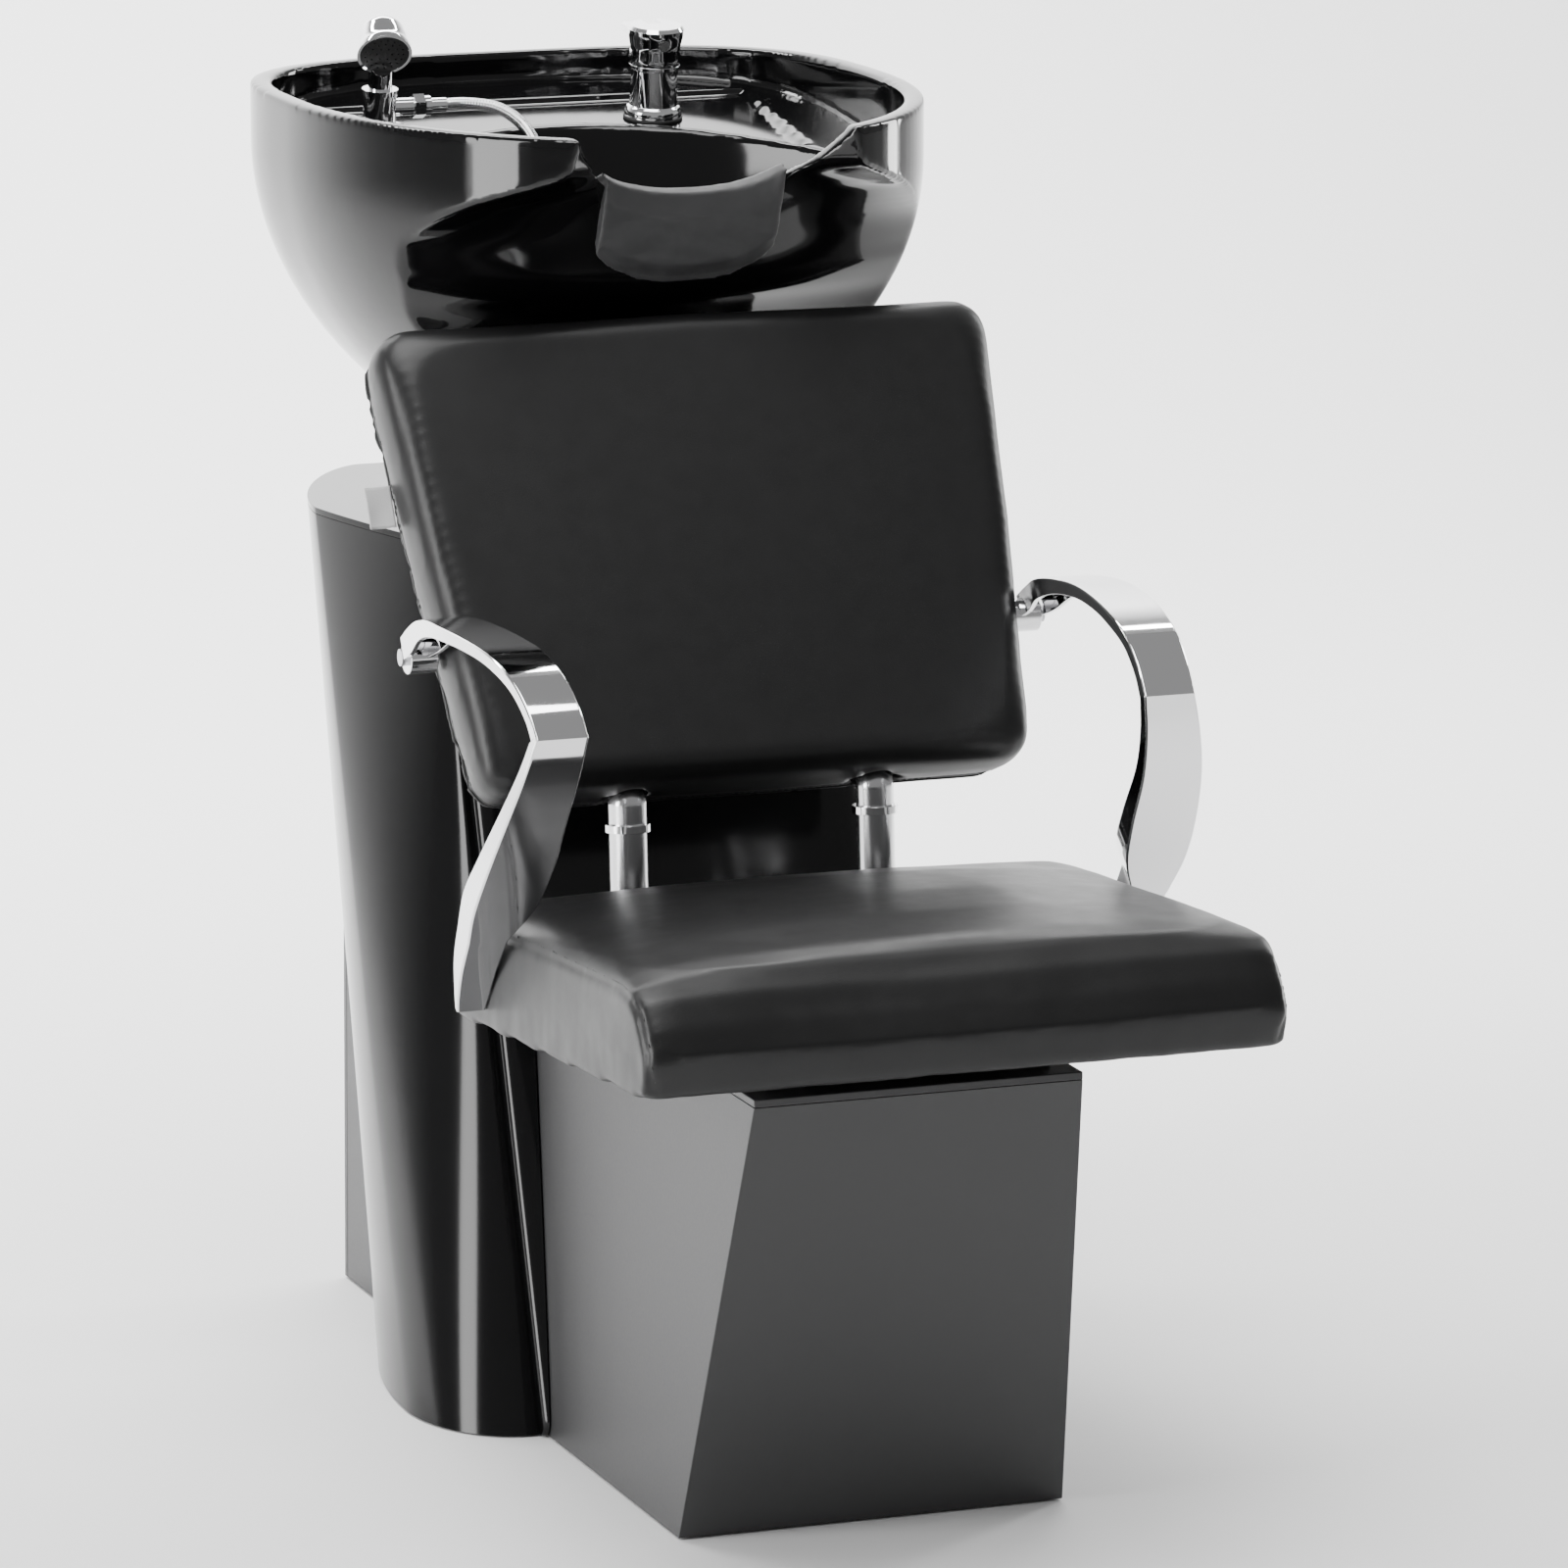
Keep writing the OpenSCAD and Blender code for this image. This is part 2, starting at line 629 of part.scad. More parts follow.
module arm_bolt_lower_hole(d) {
    translate([boss_out - bolt_reach - 2, arm_low_bolt[0], arm_low_bolt[1]]) rotate([0, 90, 0]) cylinder(d = d, h = bolt_reach + 3);
}

// The same bolt lines, seen from the backrest's and the seat's own frames.
module arm_bolt_upper_line(d) {
    rotate([back_lean, 0, 0]) translate([0, -back_y, -back_z]) mirrored() arm_bolt_upper_hole(d);
}
module arm_bolt_lower_line(d) {
    rotate([seat_tilt, 0, 0]) translate([0, -seat_front, -seat_bottom]) mirrored() arm_bolt_lower_hole(d);
}

module arm_right() { arm(); }
module arm_left() { mirror([1, 0, 0]) arm(); }

module arm_bolt() {
    rotate([0, 90, 0]) {
        cylinder(d = arm_bolt_d + 5, h = 5);
        translate([0, 0, -bolt_reach]) cylinder(d = arm_bolt_d, h = bolt_reach + e);
    }
}

module arm_bolts_upper() {
    color("silver") mirrored() translate([boss_out, arm_top_bolt[0], arm_top_bolt[1]]) arm_bolt();
}

module arm_bolts_lower() {
    color("silver") mirrored() translate([boss_out, arm_low_bolt[0], arm_low_bolt[1]]) arm_bolt();
}

// ---- basin ----
basin_y = 220;                                      // widest part of the rim
basin_front_r = 330;                                // reach of the rim's front half-ellipse
basin_rear_r = 236;
bowl_y = 250;                                       // centre of the flat underside
bowl_r = 75;
skirt = 45;                                         // upright part of the outer wall below the rim
rim_n = 48;

// Distance of the rim outline from its centre at angle a, drawn in by an inset.
function rim_r(a, inset) =
    let (c = cos(a), s = sin(a), b = (s < 0 ? basin_front_r : basin_rear_r) - inset, p = s < 0 ? 2 : 3.2)
    1 / pow(pow(abs(c) / (basin_w / 2 - inset), p) + pow(abs(s) / b, p), 1 / p);

// One ring of the bowl between its round bottom (u = 90) and its rim outline (u = 0).
function bowl_ring(u, inset, bottom_y, bottom_r, z_bottom, z_top) =
    [for (i = [0 : rim_n - 1]) let (a = 360 * i / rim_n, r = rim_r(a, inset), h = u >= 90 ? 0 : pow(cos(u), 1.45))
        [lerp(bottom_r * cos(a), r * cos(a), h), lerp(bottom_y + bottom_r * sin(a), basin_y + r * sin(a), h),
         z_top - (z_top - z_bottom) * sin(u)]];

module bowl_solid(inset, bottom_y, bottom_r, z_bottom, z_shoulder, z_top) {
    skin(concat(
        [for (u = [90, 80, 70, 60, 50, 40, 30, 20, 10, 0]) bowl_ring(u, inset, bottom_y, bottom_r, z_bottom, z_shoulder)],
        [[for (p = bowl_ring(0, inset, bottom_y, bottom_r, z_bottom, z_shoulder)) [p[0], p[1], z_top]]]));
}

// Side view of the hollow under the rim's front wings: [z, y on the centre line, y at the edge, half width].
scoop = [[690, 131, 150, 60], [715, 122, 140, 70], [735, 114, 128, 90], [770, 97, 112, 125], [800, 80, 95, 165],
         [822, 62, 84, 185], [838, 42, 80, 190], [852, 22, 74, 198], [866, 8, 66, 200], [880, 0, 58, 196],
         [903, -8, 38, 188], [929, -14, -6, 172], [940, -16, -32, 160], [957, -18, -72, 127], [972, -20, -76, 118], [1000, -22, -78, 108]];
function scoop_y(i, x) = let (s = scoop[i]) s[1] + (s[2] - s[1]) * pow(abs(x) / s[3], 2);
function scoop_outline(x, wall) = concat(
    [for (i = [0 : len(scoop) - 1]) [scoop_y(i, x) + wall, scoop[i][0] + (i == 0 ? -10 : 0)]],
    [[-500, scoop[len(scoop) - 1][0]], [-500, scoop[0][0] - 10]]);
scoop_xs = [-260, -220, -190, -165, -140, -115, -90, -72, -54, -36, -18, 0,
            18, 36, 54, 72, 90, 115, 140, 165, 190, 220, 260];
module scoop_solid(wall) {
    skin([for (x = scoop_xs) at_x(x, scoop_outline(x, wall))]);
}

// Height of the rim across the neck opening.
neck_half = 109;
neck_drop = 57;
neck_lip = rim_h - 2 - neck_drop;
function neck_z(x) = neck_lip + neck_drop * pow(min(abs(x) / neck_half, 1), 3);
module neck_notch() {
    translate([0, 60, 0]) rotate([90, 0, 0]) linear_extrude(400)
        polygon(concat([for (x = [-neck_half : neck_half / 10 : neck_half + e]) [x, neck_z(x)]],
                       [[neck_half, rim_h + 20], [-neck_half, rim_h + 20]]));
}

// The shelf behind the bowl: front edge y at the side position x, and the shelf's slope.
shelf_z = 947;
shelf_y = 290;
shelf_slope = 0.116;
function shelf_front(x) = shelf_y - 102 * pow(abs(x) / 170, 2.2);
function shelf_top(y) = shelf_z + shelf_slope * (y - shelf_y);
shelf_xs = [-245, -215, -185, -155, -125, -95, -60, -30, 0, 30, 60, 95, 125, 155, 185, 215, 245];
module shelf_solid() {
    skin([for (x = shelf_xs) let (y = shelf_front(x))
        at_x(x, [[480, 715], [480, shelf_top(480)], [y, shelf_top(y)], [y - 4, shelf_top(y) - 12],
                 [y - 14, 890], [y - 34, 820], [y - 52, 760], [y - 62, 715]])]);
}

// Anything standing on the shelf at (x, y) is square to it.
module on_shelf(x, y) {
    translate([x, y, shelf_top(y) - 4]) rotate([atan(shelf_slope), 0, 0]) children();
}

mixer_x = 87;
mixer_y = 319;
shower_x = -142;
shower_y = 314;
mixer_shank_r = 16;
shower_shank_r = shower_d / 2 + 4;
guide = [-122, 226, 884];                           // where the hose leaves the bowl wall
guide_r = 9;
module on_guide() { translate(guide) rotate([0, 80, -48]) children(); }

module basin() {
    color("black") difference() {
        bowl_solid(0, bowl_y, bowl_r, basin_bottom, rim_h - skirt, rim_h);
        scoop_solid(0);
        neck_notch();
        difference() {
            bowl_solid(basin_wall, 176, 40, basin_bottom + 29, rim_h - skirt + 8, rim_h + 12);
            scoop_solid(basin_wall);
            shelf_solid();
        }
        shelf_recess();
        basin_void();
        translate([0, drain_y, basin_bottom - 10]) cylinder(r = drain_r, h = 60);
        on_shelf(mixer_x, mixer_y) translate([0, 0, -30]) cylinder(r = mixer_shank_r + 0.5, h = 60);
        on_shelf(shower_x, shower_y) translate([0, 0, -30]) cylinder(r = shower_shank_r + 0.5, h = 60);
        basin_bolt_positions() translate([0, 0, -5]) cylinder(r = 4.3, h = 20);
        on_guide() translate([0, 0, -50]) cylinder(r = guide_r + 0.4, h = 90);
    }
}

// Sunken floor of the shelf inside its raised edge.
module shelf_recess() {
    on_shelf(0, shelf_y) linear_extrude(30) polygon(concat(
        [for (x = [-172 : 17.2 : 172.1]) [x, shelf_front(x) - shelf_y + 12]], [[186, 92], [-186, 92]]));
}

// Hollow under the shelf for the tap shanks, open below.
module basin_void() {
    hull() {
        translate([0, 0, 896]) linear_extrude(30)
            polygon([[-172, 290], [172, 290], [172, 370], [130, 422], [-130, 422], [-172, 370]]);
        translate([0, 0, 738]) linear_extrude(5)
            polygon([[-80, 256], [80, 256], [80, 320], [50, 346], [-50, 346], [-80, 320]]);
    }
    translate([0, 332, basin_bottom - 10]) cylinder(r = 24, h = 60);
}

basin_bolt_x = 50;
basin_bolt_y = 28;
module basin_bolt_positions() {
    for (x = [-1, 1], y = [-1, 1]) translate([x * basin_bolt_x, hinge_y + y * basin_bolt_y, basin_bottom]) children();
}

module basin_pad() {
    color("black") difference() {
        translate([-70, hinge_y - 42, basin_bottom - pad_t]) cube([140, 84, pad_t]);
        basin_bolt_positions() translate([0, 0, -20]) cylinder(r = 4.3, h = 40);
    }
}

bracket_top = basin_bottom - pad_t;
module basin_bracket() {
    color("gray") difference() {
        union() {
            translate([-70, hinge_y - 42, bracket_top - bracket_t]) cube([140, 84, bracket_t]);
            mirrored() translate([lug_out - fork_t, hinge_y - fork_r + 1, hinge_z])
                cube([fork_t, 2 * fork_r - 2, bracket_top - bracket_t - hinge_z + e]);
            mirrored() translate([lug_out - fork_t, hinge_y, hinge_z]) rotate([0, 90, 0]) cylinder(r = fork_r - 1, h = fork_t);
        }
        translate([-100, hinge_y, hinge_z]) rotate([0, 90, 0]) cylinder(r = hinge_r + bore_fit, h = 200);
        basin_bolt_positions() translate([0, 0, -20]) cylinder(r = 4.3, h = 40);
    }
}

module basin_bolts() {
    color("silver") basin_bolt_positions() translate([0, 0, -pad_t - bracket_t]) mirror([0, 0, 1]) hex_bolt(8, 22, 13);
}

// ---- drain ----
bowl_floor = basin_bottom + 29;
module drain_flange() {
    color("silver") translate([0, drain_y, 0]) difference() {
        union() {
            translate([0, 0, bowl_floor + 1]) cylinder(r1 = drain_r + 8, r2 = drain_r + 5, h = 3);
            translate([0, 0, basin_bottom - 10]) cylinder(r = drain_r - 1, h = bowl_floor - basin_bottom + 12);
        }
        translate([0, 0, bowl_floor - 8]) cylinder(r = drain_r - 3, h = 20);
        translate([0, 0, basin_bottom - 20]) cylinder(r = drain_r - 7, h = 60);
    }
}

module drain_gasket() {
    color("black") translate([0, drain_y, bowl_floor]) tube(drain_r + 8, drain_r - 0.5, 1);
}

module drain_nut() {
    color("silver") translate([0, drain_y, basin_bottom - 6.3]) difference() {
        hex(2 * drain_r + 14, 6);
        translate([0, 0, -1]) cylinder(r = drain_r - 0.9, h = 10);
    }
}

tail_r = 16;
tail_bottom = hinge_z - 14;
module drain_tail() {
    color("silver") translate([0, drain_y, 0]) difference() {
        union() {
            translate([0, 0, tail_bottom]) cylinder(r = tail_r, h = basin_bottom - 10 - tail_bottom);
            translate([0, 0, basin_bottom - 16]) cylinder(r = drain_r - 1, h = 6);
        }
        translate([0, 0, tail_bottom - 1]) cylinder(r = tail_r - 2, h = 60);
    }
}

strainer_r = drain_r - 3.4;
module strainer() {
    color("silver") translate([0, drain_y, bowl_floor - 7.7]) difference() {
        union() {
            cylinder(r = strainer_r, h = 1.5);
            tube(strainer_r, strainer_r - 1.2, 9);
            cylinder(r = 3, h = 14);
            translate([0, 0, 14]) sphere(r = 4);
        }
        for (k = [0 : 7]) rotate([0, 0, 45 * k]) translate([11, 0, -1]) cylinder(r = 2, h = 4);
    }
}

// ---- neck rest ----
neck_t = 9;
neck_xs = [-72, -63, -54, -36, -18, 0, 18, 36, 54, 63, 72];
// Point on the basin's neck wall at side position x and height z, moved out by d.
function neck_front(x, z, d) =
    let (i = [for (k = [0 : len(scoop) - 2]) if (scoop[k][0] <= z && scoop[k + 1][0] > z) k][0],
         t = (z - scoop[i][0]) / (scoop[i + 1][0] - scoop[i][0]))
    lerp(scoop_y(i, x), scoop_y(i + 1, x), t) - d;
// Saddle section: up the front of the wall, over the lip and a little way down the inside.
function neck_section(x) =
    let (k = abs(x) / 74, low = 866 + 26 * pow(k, 3), lip = neck_z(x) + 0.6, g = 1.7,
         inner = -basin_wall - g, in_y = neck_front(x, lip, inner))
    concat(
        [for (t = [0 : 0.2 : 1]) [neck_front(x, lerp(low, lip, t), g), lerp(low, lip, t)]],
        [[in_y, lip], [neck_front(x, lip - 14, inner), lip - 14], [neck_front(x, lip - 14, inner) + 5, lip - 16],
         [in_y + neck_t - 2, lip - 6], [in_y + neck_t - 3, lip + 4], [in_y - 1, lip + neck_t - 2],
         [neck_front(x, lip, -7), lip + neck_t], [neck_front(x, lip, 4), lip + neck_t - 3]],
        [for (t = [0.8 : -0.2 : 0.1]) [neck_front(x, lerp(low, lip, t), neck_t), lerp(low, lip, t) + 2 * t]],
        [[neck_front(x, low, neck_t - 2), low + 4], [neck_front(x, low, 4), low - 2]]);
module neck_rest() {
    color("darkslategray")
        skin([for (x = neck_xs) let (n = neck_section(x)) at_x(x, [for (i = [len(n) - 1 : -1 : 0]) n[i]])]);
}

// ---- mixer tap ----
mixer_r = mixer_d / 2;
cap_r = mixer_r + 2;
cap_h = 31;
button_z = 18;
cap_z = mixer_h + 2.6;
module on_mixer() { on_shelf(mixer_x, mixer_y) children(); }

module mixer_gasket() { color("black") on_mixer() translate([0, 0, fit / 2]) tube(mixer_r + 4, mixer_shank_r + 0.4, 2); }

module mixer_body() {
    color("silver") on_mixer() difference() {
        union() {
            translate([0, 0, 2.2]) rotate_extrude() polygon([[0, 0], [mixer_r + 3, 0], [mixer_r + 3, 5], [mixer_r + 1.5, 8],
                [mixer_r - 0.5, 9], [mixer_r - 1.5, mixer_h - 4], [mixer_r + 0.5, mixer_h - 3], [mixer_r + 0.5, mixer_h], [0, mixer_h]]);
            translate([0, 0, -34]) cylinder(r = mixer_shank_r, h = 37);
        }
        translate([0, 0, mixer_h - 20]) cylinder(r = 14.3, h = 40);
        translate([0, 0, -40]) cylinder(r = 11, h = 30);
        for (x = [-1, 1]) translate([x * 6, 0, -12]) cylinder(r = 3, h = 40);
    }
}

module mixer_nut() {
    color("silver") on_mixer() translate([0, 0, -32]) difference() {
        cylinder(r = mixer_shank_r + 7, h = 7);
        translate([0, 0, -1]) cylinder(r = mixer_shank_r + 0.05, h = 10);
    }
}

inlet_r = 4.8;
module mixer_inlets() {
    color("silver") on_mixer() for (x = [-1, 1]) translate([x * 5.6, 0, -58]) {
        cylinder(r = inlet_r, h = 47.5);
    }
}

module mixer_cartridge() {
    color("ivory") on_mixer() {
        translate([0, 0, mixer_h - 19.8]) cylinder(r = 14, h = 20);
        translate([0, 0, mixer_h - e]) cylinder(r = 6, h = 10);
    }
}

// Turning cap with flared shoulders; a slot at the back takes the lever.
slot_w = 12;
module mixer_cap() {
    color("silver") on_mixer() translate([0, 0, cap_z]) difference() {
        rotate_extrude() polygon([[0, 0], [cap_r - 1.5, 0], [cap_r - 1, 3], [cap_r - 1.6, 14], [cap_r + 0.6, 24],
            [cap_r + 1, cap_h - 3], [cap_r - 1, cap_h], [0, cap_h]]);
        translate([0, 0, -1]) cylinder(r = 6 + bore_fit, h = 9);
        translate([-slot_w / 2, 4, 9]) cube([slot_w, 40, cap_h]);
        translate([0, -cap_r - 5, button_z]) rotate([-90, 0, 0]) cylinder(r = 4.6, h = 8);
        translate([-30, lever_y, lever_z]) rotate([0, 90, 0]) cylinder(r = 2 + bore_fit, h = 60);
    }
}

module mixer_button() {
    color("silver") on_mixer() translate([0, -cap_r - 0.4, cap_z + button_z]) rotate([-90, 0, 0]) cylinder(r = 4.4, h = 3);
}

// Lever blade with its own cross pin, pivoting inside the cap's slot.
lever_y = 9;
lever_z = 14;
lever_len = 58;
module mixer_lever() {
    half = slot_w / 2 - 0.5;
    blade = half - 0.5;
    color("silver") on_mixer() translate([0, lever_y, cap_z + lever_z]) {
        translate([-half, 0, 0]) rotate([0, 90, 0]) cylinder(r = 4, h = 2 * half);
        translate([-15, 0, 0]) rotate([0, 90, 0]) cylinder(r = 2, h = 30);
        translate([0, 0, -2.5]) linear_extrude(5)
            polygon([[-blade, 1], [blade, 1], [blade, lever_len], [blade - 3, lever_len + 5],
                     [3 - blade, lever_len + 5], [-blade, lever_len]]);
    }
}

// ---- hand shower ----
shank_len = 34;
flange_r = 23;
socket_r = shower_d / 2 + 0.4;
module on_holder() { on_shelf(shower_x, shower_y) children(); }

module shower_gasket() { color("black") on_holder() translate([0, 0, fit / 2]) tube(flange_r, shower_shank_r + 0.4, 1.5); }

module shower_flange() {
    color("silver") on_holder() difference() {
        union() {
            translate([0, 0, 1.7]) cylinder(r1 = flange_r, r2 = flange_r - 3, h = 4);
            translate([0, 0, -shank_len]) cylinder(r = shower_shank_r, h = shank_len + 3);
        }
        translate([0, 0, -shank_len + 4]) cylinder(r = socket_r, h = 60);
        translate([0, 0, -shank_len - 1]) cylinder(r = 5, h = 10);
    }
}

module shower_nut() {
    color("silver") on_holder() translate([0, 0, -30]) difference() {
        cylinder(r = shower_shank_r + 6, h = 7);
        translate([0, 0, -1]) cylinder(r = shower_shank_r + 0.05, h = 10);
    }
}

// The head sits on the handle and looks forward and down.
head_z = 73;
head_pitch = 32;
head_yaw = -10;
spigot_z = 20;
spigot_len = 14;
module spray_frame() {
    translate([0, -4, head_z]) rotate([0, 0, head_yaw]) rotate([90 + head_pitch, 0, 0]) children();
}
module hand_shower() {
    r = spray_d / 2;
    color("silver") on_holder() difference() {
        union() {
            translate([0, 0, -22]) cylinder(r = shower_d / 2, h = 56);
            translate([0, 0, 31]) cylinder(r = shower_d / 2 + 1.2, h = 4.5);
            translate([0, 0, 33]) cylinder(r = 9.5, h = head_z - 34);
            spray_frame() rotate_extrude() polygon([[0, -20], [8, -19.5], [14, -17], [17.5, -12], [19, -4],
                [r - 1, 6], [r, 9], [r, 13], [0, 13]]);
            translate([shower_d / 2 - 4, 0, spigot_z]) rotate([0, 90, 0]) cylinder(r = 7, h = spigot_len + 4);
        }
        spray_frame() translate([0, 0, 11]) cylinder(r = r - 2.2, h = 10);
        translate([0, 0, -23]) cylinder(r = 8, h = 30);
    }
}

module spray_face() {
    color("black") on_holder() spray_frame() translate([0, 0, 11.05]) difference() {
        cylinder(r = spray_d / 2 - 2.4, h = 1.6);
        for (ring = [[6, 6], [12, 11], [17, 15]], k = [0 : ring[0] - 1])
            rotate([0, 0, 360 * k / ring[0]]) translate([ring[1], 0, 0.6]) cylinder(r = 0.7, h = 2);
    }
}

nut_x = shower_d / 2 + spigot_len;
ferrule_len = 13;
module hose_nut() {
    color("silver") on_holder() translate([nut_x + 0.05, 0, spigot_z]) rotate([0, 90, 0]) {
        hex(17, 9);
        translate([0, 0, 9]) cylinder(r = 8, h = 5);
        translate([0, 0, 14]) cylinder(r = hose_d / 2 + 0.8, h = ferrule_len);
    }
}

module hose_guide() {
    color("silver") on_guide() difference() {
        union() {
            translate([0, 0, -28]) cylinder(r = guide_r, h = 32);
            translate([0, 0, 2]) cylinder(r1 = guide_r + 5, r2 = guide_r + 2, h = 4);
        }
        translate([0, 0, -40]) cylinder(r = hose_d / 2 + 1, h = 60);
    }
}

// ---- hose ----
// Centre line from the ferrule over the shelf's front edge and round the bowl to the guide.
hose_route = [[-87.8, 311.7, 965.7], [-74, 312, 966], [-61, 308, 965], [-50, 301, 963], [-42, 293, 959], [-36, 282, 953],
    [-33, 269, 946], [-32, 256, 937], [-32, 243, 928], [-34, 229, 919], [-39, 215, 911], [-48, 205, 904],
    [-59, 198, 899], [-72, 195, 894], [-85, 196, 890], [-98, 201, 887], [-110, 211, 885], [-122, 226, 884]];
hose_sides = 10;

function route_dir(i) =
    let (a = hose_route[max(i - 1, 0)], b = hose_route[min(i + 1, len(hose_route) - 1)]) (b - a) / norm(b - a);
// One ring across the hose at route point i, with its zero angle kept level.
function hose_ring(i) =
    let (d = route_dir(i), side = cross(d, [0, 0, 1]), s = side / norm(side), up = cross(s, d))
    [for (k = [0 : hose_sides - 1]) let (a = -360 * k / hose_sides)
        hose_route[i] + hose_d / 2 * (cos(a) * s + sin(a) * up)];
module shower_hose() {
    color("silver") skin([for (i = [0 : len(hose_route) - 1]) hose_ring(i)]);
}

base_shell();
base_rear_panel();
base_top_plate();
floor_plate();
base_feet();
column_post();
post_bolts();
column_shell();
column_front_panel();
column_top();
service_panel();
service_screws();
tilt_fork();
fork_bolts();
tilt_pin();
tilt_pin_rings();
seat_rails();
seat_frame();
seat_cushion();
seat_bolts();
upright_left();
upright_right();
upright_feet();
upright_collars();
back_frame();
back_cushion();
back_cover();
side_tag();
arm_left();
arm_right();
arm_bolts_upper();
arm_bolts_lower();
basin();
neck_rest();
basin_pad();
basin_bracket();
basin_bolts();
drain_flange();
drain_gasket();
drain_tail();
drain_nut();
strainer();
mixer_gasket();
mixer_body();
mixer_nut();
mixer_inlets();
mixer_cartridge();
mixer_cap();
mixer_button();
mixer_lever();
shower_flange();
shower_gasket();
shower_nut();
hand_shower();
spray_face();
hose_nut();
hose_guide();
shower_hose();
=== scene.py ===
import json
import math

import bmesh
import bpy
import numpy as np
from mathutils import Matrix, Vector, noise
from mathutils.bvhtree import BVHTree
from mathutils.kdtree import KDTree


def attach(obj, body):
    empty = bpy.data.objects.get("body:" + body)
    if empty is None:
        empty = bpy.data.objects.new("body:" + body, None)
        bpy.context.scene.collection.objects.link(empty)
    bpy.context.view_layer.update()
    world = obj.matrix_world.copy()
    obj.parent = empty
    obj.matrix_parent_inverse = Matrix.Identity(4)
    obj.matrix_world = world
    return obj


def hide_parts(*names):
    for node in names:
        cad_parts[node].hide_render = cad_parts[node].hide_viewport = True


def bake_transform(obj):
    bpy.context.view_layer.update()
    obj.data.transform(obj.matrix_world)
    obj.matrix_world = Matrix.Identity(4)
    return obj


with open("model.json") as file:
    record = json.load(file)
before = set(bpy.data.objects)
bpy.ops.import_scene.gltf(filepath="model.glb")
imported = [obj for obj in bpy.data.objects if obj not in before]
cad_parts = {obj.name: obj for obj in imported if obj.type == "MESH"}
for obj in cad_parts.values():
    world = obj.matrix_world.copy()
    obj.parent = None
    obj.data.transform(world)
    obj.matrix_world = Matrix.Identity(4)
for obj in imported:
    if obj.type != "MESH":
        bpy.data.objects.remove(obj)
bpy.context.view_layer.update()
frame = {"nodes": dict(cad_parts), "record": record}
MM = 0.001


# ---- camera ----
def add_camera():
    cam = bpy.data.objects.new("camera", bpy.data.cameras.new("camera"))
    bpy.context.scene.collection.objects.link(cam)
    cam.location = (-2.338, -6.529, 1.917)
    aim = Vector((0.042, -0.102, 0.493)) - cam.location
    cam.rotation_euler = aim.to_track_quat("-Z", "Y").to_euler()
    cam.data.sensor_width = 36
    cam.data.lens = 212.05
    bpy.context.scene.camera = cam


add_camera()


# ---- materials ----
def material(name, color, rough, metallic=0.0, grain=None, bump=0.0, vary=0.0, spec=0.5, sheen=0.0):
    m = bpy.data.materials.new(name)
    m.use_nodes = True
    nt = m.node_tree
    b = nt.nodes["Principled BSDF"]
    b.inputs["Base Color"].default_value = (*color, 1)
    b.inputs["Roughness"].default_value = rough
    b.inputs["Metallic"].default_value = metallic
    b.inputs["Specular IOR Level"].default_value = spec
    b.inputs["Sheen Weight"].default_value = sheen
    tc = nt.nodes.new("ShaderNodeTexCoord")
    if grain:
        tex = nt.nodes.new("ShaderNodeTexNoise")
        tex.inputs["Scale"].default_value = grain
        tex.inputs["Detail"].default_value = 6
        nt.links.new(tc.outputs["Object"], tex.inputs["Vector"])
        if bump:
            bn = nt.nodes.new("ShaderNodeBump")
            bn.inputs["Strength"].default_value = bump
            bn.inputs["Distance"].default_value = 0.0005
            nt.links.new(tex.outputs["Fac"], bn.inputs["Height"])
            nt.links.new(bn.outputs["Normal"], b.inputs["Normal"])
        if vary:
            mr = nt.nodes.new("ShaderNodeMapRange")
            mr.inputs["To Min"].default_value = rough - vary
            mr.inputs["To Max"].default_value = rough + vary
            nt.links.new(tex.outputs["Fac"], mr.inputs["Value"])
            nt.links.new(mr.outputs["Result"], b.inputs["Roughness"])
    return m


def leather_material():
    """Smooth synthetic leather: fine cell grain, slightly uneven gloss."""
    m = material("leather", (0.006, 0.006, 0.0063), 0.4, grain=55, vary=0.05, spec=0.38)
    nt = m.node_tree
    b = nt.nodes["Principled BSDF"]
    tc = [n for n in nt.nodes if n.type == "TEX_COORD"][0]
    cells = nt.nodes.new("ShaderNodeTexVoronoi")
    cells.inputs["Scale"].default_value = 900
    bump = nt.nodes.new("ShaderNodeBump")
    bump.inputs["Strength"].default_value = 0.12
    bump.inputs["Distance"].default_value = 0.0003
    nt.links.new(tc.outputs["Object"], cells.inputs["Vector"])
    nt.links.new(cells.outputs["Distance"], bump.inputs["Height"])
    nt.links.new(bump.outputs["Normal"], b.inputs["Normal"])
    return m


def brushed_material(name, color, rough):
    """Metal with fine lines along Z."""
    m = material(name, color, rough, metallic=1)
    nt = m.node_tree
    b = nt.nodes["Principled BSDF"]
    tc = [n for n in nt.nodes if n.type == "TEX_COORD"][0]
    mp = nt.nodes.new("ShaderNodeMapping")
    mp.inputs["Scale"].default_value = (900, 900, 6)
    tex = nt.nodes.new("ShaderNodeTexNoise")
    tex.inputs["Scale"].default_value = 1
    mr = nt.nodes.new("ShaderNodeMapRange")
    mr.inputs["To Min"].default_value = rough - 0.06
    mr.inputs["To Max"].default_value = rough + 0.08
    nt.links.new(tc.outputs["Object"], mp.inputs["Vector"])
    nt.links.new(mp.outputs["Vector"], tex.inputs["Vector"])
    nt.links.new(tex.outputs["Fac"], mr.inputs["Value"])
    nt.links.new(mr.outputs["Result"], b.inputs["Roughness"])
    return m


